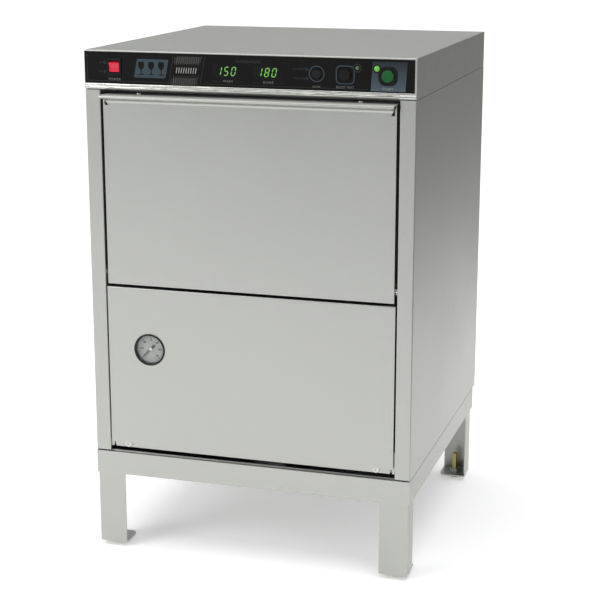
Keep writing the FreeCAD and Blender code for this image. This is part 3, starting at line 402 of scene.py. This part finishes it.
def finished(name, shape, material, body=ROOT, smooth=0.6):
    """Turn a bmesh into a riding piece, smooth where its faces nearly meet flat."""
    data = bpy.data.meshes.new(name)
    shape.to_mesh(data)
    shape.free()
    made = bpy.data.objects.new(name, data)
    bpy.context.scene.collection.objects.link(made)
    data.materials.append(material)
    data.polygons.foreach_set("use_smooth", [True] * len(data.polygons))
    data.set_sharp_from_angle(angle=smooth)
    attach(made, body)
    return made


def lathe(name, profile, middle, material, body=ROOT, axis="Y", steps=64):
    """Solid of revolution from (radius, along) pairs; the ends may lie on the axis."""
    shape = bmesh.new()
    rings = []
    for radius, along in profile:
        ring = []
        for index in range(steps if radius > 0 else 1):
            turn = 2 * math.pi * index / steps
            flat = (radius * math.cos(turn), radius * math.sin(turn))
            spot = (flat[0], along, flat[1]) if axis == "Y" else (flat[0], flat[1], along)
            ring.append(shape.verts.new(Vector(spot) + middle))
        rings.append(ring)
    for near, far in zip(rings, rings[1:]):
        for index in range(steps):
            after = (index + 1) % steps
            corners = [near[index % len(near)], near[after % len(near)],
                       far[after % len(far)], far[index % len(far)]]
            corners = list(dict.fromkeys(corners))
            shape.faces.new(corners)
    bmesh.ops.recalc_face_normals(shape, faces=shape.faces)
    return finished(name, shape, material, body)


def arc(middle, radius, start, end, steps):
    """Points along a circular arc, angles in degrees."""
    return [(middle[0] + radius * math.cos(math.radians(start + (end - start) * i / steps)),
             middle[1] + radius * math.sin(math.radians(start + (end - start) * i / steps)))
            for i in range(steps + 1)]


def circle(middle, radius, steps=64):
    return arc(middle, radius, 0, 360, steps)[:-1]


def rounded_box(middle, width, height, corner, slant=0.0):
    """Loop of a box with round corners, its top pushed right by slant times its height."""
    points = []
    for across, up, start in ((1, 1, 0), (-1, 1, 90), (-1, -1, 180), (1, -1, 270)):
        corner_at = (across * (width / 2 - corner), up * (height / 2 - corner))
        points += arc(corner_at, corner, start, start + 90, 8)
    return [(middle[0] + x + slant * z, middle[1] + z) for x, z in points]


def bar(x0, x1, z0, z1, slant=0.0):
    return [(x0 + slant * z0, z0), (x1 + slant * z0, z0), (x1 + slant * z1, z1), (x0 + slant * z1, z1)]


# ---- control plate: printing

LEAN = 0.20
DIGIT_HEIGHT = 14.2 * MM
DIGIT_WIDTH = 6.6 * MM
DIGIT_LEAN = 0.22
DIGIT_STEPS = (-20.5, -7.4, 5.8)  # left edges from the window's middle, mm
CAPTION_Z = PLATE_LOW.z + 10.7 * MM
TITLE_Z = PLATE_HIGH.z - 11.0 * MM
MID_Z = (PLATE_LOW.z + PLATE_HIGH.z) / 2
TILE_X = PLATE_LOW.x + 128 * MM
PATCH_X = PLATE_LOW.x + 195 * MM
PATCH_HALF = 25 * MM
START_LEFT = START.x - 30 * MM
START_RIGHT = START.x + 30.5 * MM
POWER_UP, POWER_DOWN = 7.4, -8.8  # heights of the rockers' two symbols, mm
PRIME_UP, PRIME_DOWN = 7.6, -8.4
SLANT_LOW = PLATE_LOW.z + 2 * MM  # foot and head of the patch and the start panel
SLANT_HIGH = PLATE_HIGH.z - 4.5 * MM


def seven_segment(digit, left, base, height, width, lean):
    """Loops of a digit's lit segments, drawn upright and then leaned."""
    thick = 0.12 * height
    half = height / 2
    gap = 0.03 * height
    segments = {"a": ((0, height), (width, height)), "b": ((width, half), (width, height)),
                "c": ((width, 0), (width, half)), "d": ((0, 0), (width, 0)),
                "e": ((0, 0), (0, half)), "f": ((0, half), (0, height)), "g": ((0, half), (width, half))}
    lit_segments = {"0": "abcdef", "1": "bc", "5": "acdfg", "8": "abcdefg"}[digit]
    loops = []
    for key in lit_segments:
        start, end = (Vector(p) for p in segments[key])
        along = (end - start).normalized()
        across = Vector((-along.y, along.x)) * thick / 2
        start, end = start + along * gap, end - along * gap
        near, far = start + along * thick / 2, end - along * thick / 2
        loop = [start, near + across, far + across, end, far - across, near - across]
        loops.append([(left + p.x + lean * p.y, base + p.y) for p in loop])
    return loops


def display(name, window, digits):
    """Tinted window with leaning green digits on it."""
    low, high = window
    middle = ((low.x + high.x) / 2, (low.z + high.z) / 2)
    size = (high.x - low.x, high.z - low.z)
    cover = piece("display_window_" + name,
                  [plate_mesh([rounded_box(middle, size[0], size[1], 0.6 * MM)],
                              high.y - low.y, 0.2 * MM)],
                  BY_SLOT["lens"], y=high.y)
    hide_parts("fascia_lenses")
    base = middle[1] - DIGIT_HEIGHT / 2
    loops = []
    for digit, left in zip(digits, DIGIT_STEPS):
        loops += seven_segment(digit, middle[0] + left * MM, base, DIGIT_HEIGHT, DIGIT_WIDTH, DIGIT_LEAN)
    glow = lit("digit_green", srgb(112, 178, 84), srgb(120, 184, 90), POWER, 1.0 * MM, 0.28)
    piece("display_digits_" + name, [plate_mesh([loop], PRINT) for loop in loops], glow, y=low.y)


def icon(middle, radius):
    """Small round symbol: an open ring with a dot."""
    ring = [circle(middle, radius, 24), circle(middle, radius * 0.68, 24)]
    return [plate_mesh(ring, PRINT), plate_mesh([circle(middle, radius * 0.3, 16)], PRINT)]


def flanked(text, middle, width, reach):
    """A word with a thin angled line to each side."""
    meshes = [text_mesh(text, middle, width, 4.2 * MM, PRINT)]
    lines = []
    for side in (-1, 1):
        inner = middle[0] + side * (width / 2 + 2.5 * MM)
        outer = middle[0] + side * reach
        x0, x1 = sorted((inner, outer))
        z = middle[1] - 1.4 * MM
        lines.append(plate_mesh([bar(x0, x1, z, z + 0.35 * MM)], PRINT))
        x0, x1 = sorted((outer, outer - side * 0.35 * MM))
        lines.append(plate_mesh([bar(x0, x1, z, z + 2.4 * MM)], PRINT))
    return meshes, lines


def word(text, anchor, offset, size):
    """Lettering of a size at an offset from a switch's middle, both in millimetres."""
    middle = (anchor.x + offset[0] * MM, anchor.z + offset[1] * MM)
    return text_mesh(text, middle, size[0] * MM, size[1] * MM, PRINT)


def words_and_lines():
    """Plain function words, their flanking lines and the thin border."""
    wash = (centre_of(WASH_WINDOW)[0], CAPTION_Z)
    rinse = (centre_of(RINSE_WINDOW)[0], CAPTION_Z)
    wash_word, wash_lines = flanked("WASH", wash, 18 * MM, 28 * MM)
    rinse_word, rinse_lines = flanked("RINSE", rinse, 19 * MM, 28 * MM)
    bright = wash_word + rinse_word
    bright.append(word("PRIME", PRIME, (0, -22.2), (14, 3.4)))
    bright.append(word("BOOST HEAT", BOOST, (0, -21), (31, 4.0)))
    bright.append(word("POWER", POWER, (0, -21.8), (23, 4.4)))
    piece("plate_words", bright, WORD_INK)
    faint = wash_lines + rinse_lines
    faint.append(text_mesh("TEMPERATURE", ((wash[0] + rinse[0]) / 2, TITLE_Z),
                           47 * MM, 4.4 * MM, PRINT))
    faint.append(word("ON", POWER, (-26.5, POWER_UP), (4.6, 2.4)))
    faint.append(word("OFF", POWER, (-26.5, POWER_DOWN), (6.4, 2.4)))
    faint.append(word("DETERGENT", PRIME, (-32, PRIME_UP), (21, 2.6)))
    faint.append(word("RINSE AID", PRIME, (-31, PRIME_DOWN), (19, 2.6)))
    base = PLATE_LOW.z + 4.2 * MM
    line = 0.5 * MM
    left = PLATE_LOW.x + 5 * MM
    for x0, x1 in ((left, PATCH_X - PATCH_HALF - 9 * MM),
                   (PATCH_X + PATCH_HALF + 7 * MM, START_LEFT - 5 * MM)):
        faint.append(plate_mesh([bar(x0, x1, base, base + line)], PRINT))
    faint.append(plate_mesh([bar(left, left + line, base + line, PLATE_HIGH.z - 5 * MM)], PRINT))
    piece("plate_lines", faint, DIM_INK)
    icons = []
    for switch, across, up in ((POWER, -18.7, POWER_UP), (POWER, -18.7, POWER_DOWN),
                               (PRIME, -17.6, PRIME_UP), (PRIME, -17.6, PRIME_DOWN)):
        icons += icon((switch.x + across * MM, switch.z + up * MM), 2.7 * MM)
    piece("plate_icons", icons, ICON_INK)


def goblet(middle, height):
    """Outline of a plain stemmed glass."""
    half = [(0.0, -0.50), (0.24, -0.50), (0.24, -0.45), (0.04, -0.42), (0.04, -0.12), (0.20, 0.04),
            (0.26, 0.22), (0.22, 0.50)]
    loop = half + [(-x, z) for x, z in reversed(half[1:])]
    return [(middle[0] + x * height, middle[1] + z * height) for x, z in loop]


def picture_tile():
    """Slanted blue tile with three plain glasses cut out of it."""
    middle = (TILE_X, MID_Z + 0.3 * MM)
    glasses = [goblet((middle[0] + x * MM, middle[1]), 23 * MM) for x in (-19, 0, 19)]
    outline = rounded_box(middle, 60 * MM, 33 * MM, 3 * MM, LEAN)
    piece("picture_tile", [plate_mesh([outline] + glasses, PRINT)], BLUE_INK)


def hatched_patch():
    """Slanted patch of weave hatching, with a band of plain bars across its middle."""
    low, high = SLANT_LOW, SLANT_HIGH
    middle = (low + high) / 2
    pitch = 2.1 * MM
    meshes = []
    for z0, z1 in ((low, middle - 12 * MM), (middle + 12 * MM, high)):
        for row in range(int((z1 - z0) / pitch)):
            meshes += hatch_row(z0 + row * pitch, row % 2)
    piece("hatched_patch", meshes, PATCH_INK)
    left, right = PATCH_X - PATCH_HALF, PATCH_X + PATCH_HALF
    outline = [leaning_bar(x, x + 0.5 * MM, low, high) for x in (left - 4.5 * MM, right + 4.5 * MM)]
    outline += [leaning_bar(left, right, z, z + 0.5 * MM) for z in (middle - 10.5 * MM, middle + 10 * MM)]
    piece("patch_outline", outline, DIM_INK)
    bars = []
    for index in range(9):
        x = left + (5.6 + 4.5 * index) * MM
        bars.append(leaning_bar(x, x + 1.6 * MM, middle - 5 * MM, middle + 5 * MM))
    piece("patch_bars", bars, SILVER_INK)


def leaning_bar(x0, x1, z0, z1):
    """Printed bar that leans with the patch, its places given at the plate's middle."""
    shift = -LEAN * MID_Z
    return plate_mesh([bar(x0 + shift, x1 + shift, z0, z1, LEAN)], PRINT)


def hatch_row(z, odd):
    """A row of short strokes; odd rows lean the other way, half a stroke along."""
    tilt = LEAN + (1.2 if odd else -0.9)
    step = 4.0 * MM
    row = []
    for column in range(12):
        x = PATCH_X - PATCH_HALF + (column + 0.5 * odd) * step + LEAN * (z - MID_Z) - tilt * z
        row.append(plate_mesh([bar(x, x + 1.5 * MM, z, z + 1.5 * MM, tilt)], PRINT))
    return row


def switch_rings():
    """Printed rings round the prime rocker, the boost button and its lamp."""
    prime = (PRIME.x, PRIME.z)
    boost = (BOOST.x, BOOST.z)
    lamp = centre_of(BOOST_LAMP)
    rings = [plate_mesh([circle(prime, 14 * MM), circle(prime, 12.2 * MM)], PRINT),
             plate_mesh([rounded_box(boost, 33.4 * MM, 32 * MM, 8.5 * MM),
                         rounded_box(boost, 29.6 * MM, 28.2 * MM, 6.8 * MM)], PRINT)]
    piece("switch_rings", rings, BLUE_INK)
    piece("boost_lamp_ring", [plate_mesh([circle(lamp, 7.2 * MM, 40), circle(lamp, 6.3 * MM, 40)], PRINT)],
          DIM_INK)


def start_panel():
    """Blue panel round the start button, with its word and a row of dots."""
    low, high = SLANT_LOW, SLANT_HIGH
    lean = 0.06
    shift = -lean * low
    lamp = centre_of(START_LAMP)
    outline = bar(START_LEFT + shift, START_RIGHT + shift, low, high, lean)
    hole = rounded_box((START.x, START.z), 33.2 * MM, 32.2 * MM, 12.1 * MM)
    blue = blue_panel("start_blue", low, high)
    lamp_hole = circle(lamp, 7.2 * MM, 40)
    piece("start_panel", [plate_mesh([outline, hole, lamp_hole], PRINT)], blue)
    piece("start_lamp_ring", [plate_mesh([lamp_hole, circle(lamp, 5.2 * MM, 40)], 0.5 * MM)],
          DARK_INK)
    dots = [plate_mesh([circle((START.x + x * MM, low + 2.5 * MM), 0.5 * MM, 12)], PRINT)
            for x in (-27, -22.5, -18, 25, 29)]
    word = text_mesh("START", (START.x, START.z - 21.8 * MM), 19 * MM, 4.2 * MM, PRINT)
    piece("start_word", dots + [word], SILVER_INK, y=FACE - PRINT)


def lamp(name, box, colour, core, strength):
    """Domed lamp lens in its hole."""
    low, high = box
    radius = (high.x - low.x) / 2
    proud = 0.5 * radius
    middle = Vector(((low.x + high.x) / 2, 0, (low.z + high.z) / 2))
    dome = [(radius * math.cos(math.radians(a)), FACE - proud * math.sin(math.radians(a)))
            for a in range(0, 90, 10)]
    profile = [(0, high.y), (radius, high.y)] + dome + [(0, FACE - proud)]
    glow = lit(name + "_plastic", colour, core, middle + Vector((0, FACE, 0)), radius, strength)
    made = lathe(name, profile, middle, glow, steps=40)
    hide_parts("fascia_lenses")


# ---- steel details

HEM_BANDS = 2
HEM_STEPS = 8
HEM_BULGE = 0.9 * MM
SCREW_RADIUS = 4.5 * MM
BEADS_PER_LEG = 14
BEAD_RADII = (2.4 * MM, 1.6 * MM, 1.2 * MM)


def hood_hem():
    """Two rolled bands of the hood's hem below the control plate."""
    hood_low, hood_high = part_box("hood")
    base, top = hood_low.z + 1.2 * MM, PLATE_LOW.z
    band = (top - base) / HEM_BANDS
    profile = [(FACE + 0.3 * MM, base)]
    for index in range(HEM_BANDS):
        bottom = base + index * band
        for step in range(HEM_STEPS + 1):
            share = step / HEM_STEPS
            out = HEM_BULGE * math.sin(math.pi * share) ** 0.6 if 0 < step < HEM_STEPS else 0.0
            profile.append((FACE - 0.05 * MM - out, bottom + band * share))
    profile.append((FACE + 0.3 * MM, top))
    shape = bmesh.new()
    ends = []
    for x in (hood_low.x + 0.8 * MM, hood_high.x - 0.8 * MM):
        ends.append([shape.verts.new((x, y, z)) for y, z in profile])
    for index in range(len(profile)):
        after = (index + 1) % len(profile)
        shape.faces.new([ends[0][index], ends[1][index], ends[1][after], ends[0][after]])
    for end in ends:
        shape.faces.new(end)
    bmesh.ops.remove_doubles(shape, verts=shape.verts, dist=1e-7)
    bmesh.ops.recalc_face_normals(shape, faces=shape.faces)
    finished("hood_hem", shape, HEM_STEEL_PAINTED_HIGHLIGHT, smooth=1.2)


def screw_heads(name, places, radius, y, outward):
    """Pan heads with a cross recess, seated on a plane of constant y."""
    meshes = []
    arm, slot_half = radius * 0.55, radius * 0.14
    cross = [(slot_half, slot_half), (slot_half, arm), (-slot_half, arm), (-slot_half, slot_half),
             (-arm, slot_half), (-arm, -slot_half), (-slot_half, -slot_half), (-slot_half, -arm),
             (slot_half, -arm), (slot_half, -slot_half), (arm, -slot_half), (arm, slot_half)]
    for x, z in places:
        recess = [(x + u, z + v) for u, v in cross]
        meshes.append(plate_mesh([circle((x, z), radius, 32), recess], radius * 0.55, radius * 0.12))
    made = piece(name, meshes, SCREW_STEEL, y=0)
    for vert in made.data.vertices:
        vert.co.y = y + vert.co.y * -outward
    if outward > 0:
        made.data.flip_normals()
    return made


def back_screws():
    """Screws round the back panel and along the hood's rear edge."""
    low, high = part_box("back_panel")
    columns = [low.x + 12 * MM, high.x - 12 * MM]
    rows = [low.z + 30 * MM + i * (high.z - low.z - 60 * MM) / 4 for i in range(5)]
    screw_heads("back_panel_screws", [(x, z) for x in columns for z in rows], SCREW_RADIUS, high.y, 1)
    hood_low, hood_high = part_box("hood")
    z = hood_low.z + 14 * MM
    places = [(x, z) for x in (hood_low.x + 45 * MM, 0.0, hood_high.x - 45 * MM)]
    screw_heads("hood_screws", places, SCREW_RADIUS, hood_high.y, 1)


def weld_beads():
    """Short rippled beads where each leg's flange meets the stand's rail."""
    shape = bmesh.new()
    for side in ("left", "right"):
        low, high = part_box("stand_leg_front_" + side)
        rail_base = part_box("stand_front_rail")[0].z
        inner_x = high.x if side == "left" else low.x
        outer_x = low.x if side == "left" else high.x
        for index in range(BEADS_PER_LEG):
            share = (index + 0.5) / BEADS_PER_LEG
            x = outer_x + (inner_x - outer_x) * share
            spot = Vector((x, low.y + 2.0 * MM, rail_base))
            place = Matrix.Translation(spot) @ Matrix.Diagonal((*BEAD_RADII, 1))
            bmesh.ops.create_icosphere(shape, subdivisions=2, radius=1.0, matrix=place)
    finished("stand_weld_beads", shape, SCREW_STEEL, smooth=1.5)


# ---- gauge

RIM_RADIUS = 29.7 * MM
DIAL_DEPTH = 8 * MM        # from the access panel's face to the cup's floor
DIAL_THICKNESS = 0.8 * MM
DIAL_FACE = 0.9 * MM       # the dial's front, ahead of the cup's floor
DIAL_HOLE = 2.4 * MM
CAP_RADIUS = 3.2 * MM
TICKS = 31
TICKS_PER_NUMBER = 5
FIRST_TICK = 225           # degrees, from the right and anticlockwise
TICK_STEP = 9
NUMBER_HEIGHT = 3.6 * MM
CHARACTER_WIDTH = 2.6 * MM


def tick(hub, turn, inside, outside, half):
    """Printed line along a radius of the dial."""
    along = Vector((math.cos(turn), math.sin(turn)))
    across = Vector((-along.y, along.x)) * half
    near, far = along * inside, along * outside
    loop = [near + across, far + across, far - across, near - across]
    return plate_mesh([[(hub.x + p.x, hub.z + p.y) for p in loop]], PRINT)


def dial_marks(hub, inner):
    """Ticks round the dial, and a number inside each long one."""
    marks = []
    for index in range(TICKS):
        turn = math.radians(FIRST_TICK - TICK_STEP * index)
        long = index % TICKS_PER_NUMBER == 0
        inside = inner - (6.2 if long else 4.2) * MM
        half = (0.6 if long else 0.3) * MM
        marks.append(tick(hub, turn, inside, inner - 2.2 * MM, half))
        if long:
            spot = Vector((math.cos(turn), math.sin(turn))) * (inside - 3.4 * MM)
            number = str(10 * (index // TICKS_PER_NUMBER))
            place = (hub.x + spot.x, hub.z + spot.y)
            marks.append(text_mesh(number, place, CHARACTER_WIDTH * len(number), NUMBER_HEIGHT, PRINT, 0.05))
    return marks


def gauge_face():
    """Dial with ticks and numbers under the window, the pointer's cap and the rolled rim."""
    window_low, window_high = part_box("gauge_window")
    hub = PIVOT["gauge_needle"]
    middle = Vector((hub.x, 0, hub.z))
    inner = (window_high.x - window_low.x) / 2
    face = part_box("access_panel")[0].y + DIAL_DEPTH - DIAL_FACE
    dial = [(DIAL_HOLE, face), (inner - 0.4 * MM, face), (inner - 0.3 * MM, face + DIAL_THICKNESS),
            (DIAL_HOLE, face + DIAL_THICKNESS), (DIAL_HOLE, face)]
    lathe("gauge_dial", dial, middle, DIAL_INK)
    piece("gauge_marks", dial_marks(hub, inner), TICK_INK, y=face)
    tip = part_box("gauge_pointer")[0].y
    cap = [(0, tip + 0.1 * MM), (CAP_RADIUS, tip + 0.1 * MM),
           (CAP_RADIUS, tip - 0.2 * MM), (0, tip - 0.4 * MM)]
    lathe("pointer_cap", cap, middle, SCREW_STEEL, "gauge_pointer", steps=32)
    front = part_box("gauge_case")[0].y
    rim = [(inner - 0.1 * MM, front + 2.2 * MM), (inner - 0.1 * MM, front + 0.3 * MM),
           (inner + 0.5 * MM, front - 0.6 * MM), (RIM_RADIUS - 0.7 * MM, front - 1.0 * MM),
           (RIM_RADIUS + 0.4 * MM, front - 0.4 * MM), (RIM_RADIUS + 0.8 * MM, front + 0.95 * MM),
           (inner - 0.1 * MM, front + 2.2 * MM)]
    lathe("gauge_rim", rim, middle, BY_SLOT["gauge_black"], steps=96)


# ---- stage, light and camera

FLOOR_HALF_WIDTH = 10.0
FLOOR_AHEAD = -9.0
WALL_Y = 9.0
WALL_HEIGHT = 7.0
WALL_BEND = 3.0
CAMERA_PLACE = (0.883, -2.894, 1.192)
CAMERA_DOWN = 14.08  # degrees
CAMERA_TURN = 16.90
CAMERA_LENS = 93.6   # mm on a 36 mm wide sensor


def floor_material():
    """Pale matt floor, shining softly behind the machine and greyer to its right.

    The machine's right side reflects the grey part, which gives it its fall of tone.
    """
    graph = Graph("pale_floor")
    cloud = graph.noise(0.8, 2.0)
    split = graph.add("ShaderNodeSeparateXYZ", (), {"Vector": graph.place((1, 1, 1))})
    pale = graph.mix(graph.span(cloud, 0, 1), (0.93, 0.93, 0.93, 1), (0.95, 0.95, 0.95, 1))
    far_right = graph.span(split.outputs["X"], 0.0, 1.0, (0.62, 1.2))
    graph.feed("Base Color", graph.mix(far_right, pale, srgb(186, 186, 184)))
    graph.feed("Roughness", 0.9)
    graph.feed("Specular IOR Level", 0.1)
    glow = graph.span(split.outputs["Y"], 0.24, 0.60, (-0.9, 5.0))
    fades = (graph.span(split.outputs["Z"], 1.0, 0.0, (0.5, 1.3)),
             graph.span(split.outputs["X"], 1.0, 0.0, (0.65, 1.2)))
    for fade in fades:
        glow = graph.add("ShaderNodeMath", {"operation": "MULTIPLY"}, {0: glow, 1: fade}).outputs[0]
    graph.feed("Emission Color", (1, 1, 1, 1))
    graph.feed("Emission Strength", glow)
    return graph.material


def stage():
    """Pale floor that curves up into a wall far behind the machine."""
    shape = bmesh.new()
    start = WALL_Y - WALL_BEND
    profile = [(FLOOR_AHEAD, 0.0)] + arc((start, WALL_BEND), WALL_BEND, -90, 0, 12)
    profile.append((WALL_Y, WALL_HEIGHT))
    rows = [[shape.verts.new((x, y, z)) for y, z in profile]
            for x in (-FLOOR_HALF_WIDTH, FLOOR_HALF_WIDTH)]
    for index in range(len(profile) - 1):
        shape.faces.new([rows[0][index], rows[1][index], rows[1][index + 1], rows[0][index + 1]])
    data = bpy.data.meshes.new("stage_floor")
    shape.to_mesh(data)
    shape.free()
    made = bpy.data.objects.new("stage_floor", data)
    data.materials.append(floor_material())
    data.polygons.foreach_set("use_smooth", [True] * len(data.polygons))
    bpy.context.scene.collection.objects.link(made)


def area_light(name, place, target, size, power, tint=(1, 1, 1)):
    data = bpy.data.lights.new(name, "AREA")
    data.shape = "RECTANGLE"
    data.size, data.size_y = size
    data.energy = power
    data.color = tint
    made = bpy.data.objects.new(name, data)
    made.location = place
    made.rotation_mode = "QUATERNION"
    made.rotation_quaternion = (Vector(target) - Vector(place)).to_track_quat("-Z", "Y")
    bpy.context.scene.collection.objects.link(made)


def lights():
    area_light("overhead", (0.0, -0.4, 4.2), (0, 0, 0), (4.5, 4.5), 135)
    area_light("front_left", (-3.0, -3.6, 2.6), (0, 0, 0.5), (2.4, 2.4), 80)
    area_light("front_right", (3.4, -2.4, 2.2), (0, 0, 0.5), (2.0, 2.4), 14)
    world = bpy.data.worlds.new("studio")
    world.use_nodes = True
    world.node_tree.nodes["Background"].inputs["Color"].default_value = (0.86, 0.87, 0.88, 1)
    world.node_tree.nodes["Background"].inputs["Strength"].default_value = 0.48
    bpy.context.scene.world = world


def camera():
    """Three-quarter view from the right of the front, a little above the top."""
    data = bpy.data.cameras.new("camera")
    data.lens = CAMERA_LENS
    data.sensor_width = 36.0
    made = bpy.data.objects.new("camera", data)
    made.location = CAMERA_PLACE
    made.rotation_euler = (math.radians(90 - CAMERA_DOWN), 0, math.radians(CAMERA_TURN))
    bpy.context.scene.collection.objects.link(made)
    bpy.context.scene.camera = made
    bpy.context.scene.view_settings.view_transform = "Standard"
    bpy.context.scene.view_settings.look = "None"


def main():
    dress_cad_nodes()
    display("wash", WASH_WINDOW, "150")
    display("rinse", RINSE_WINDOW, "180")
    lamp("boost_lamp", BOOST_LAMP, srgb(60, 92, 54), srgb(70, 108, 62), 0.2)
    lamp("start_lamp", START_LAMP, srgb(92, 170, 60), srgb(112, 190, 74), 0.2)
    words_and_lines()
    picture_tile()
    hatched_patch()
    switch_rings()
    start_panel()
    hood_hem()
    gauge_face()
    back_screws()
    weld_beads()
    stage()
    lights()
    camera()


main()
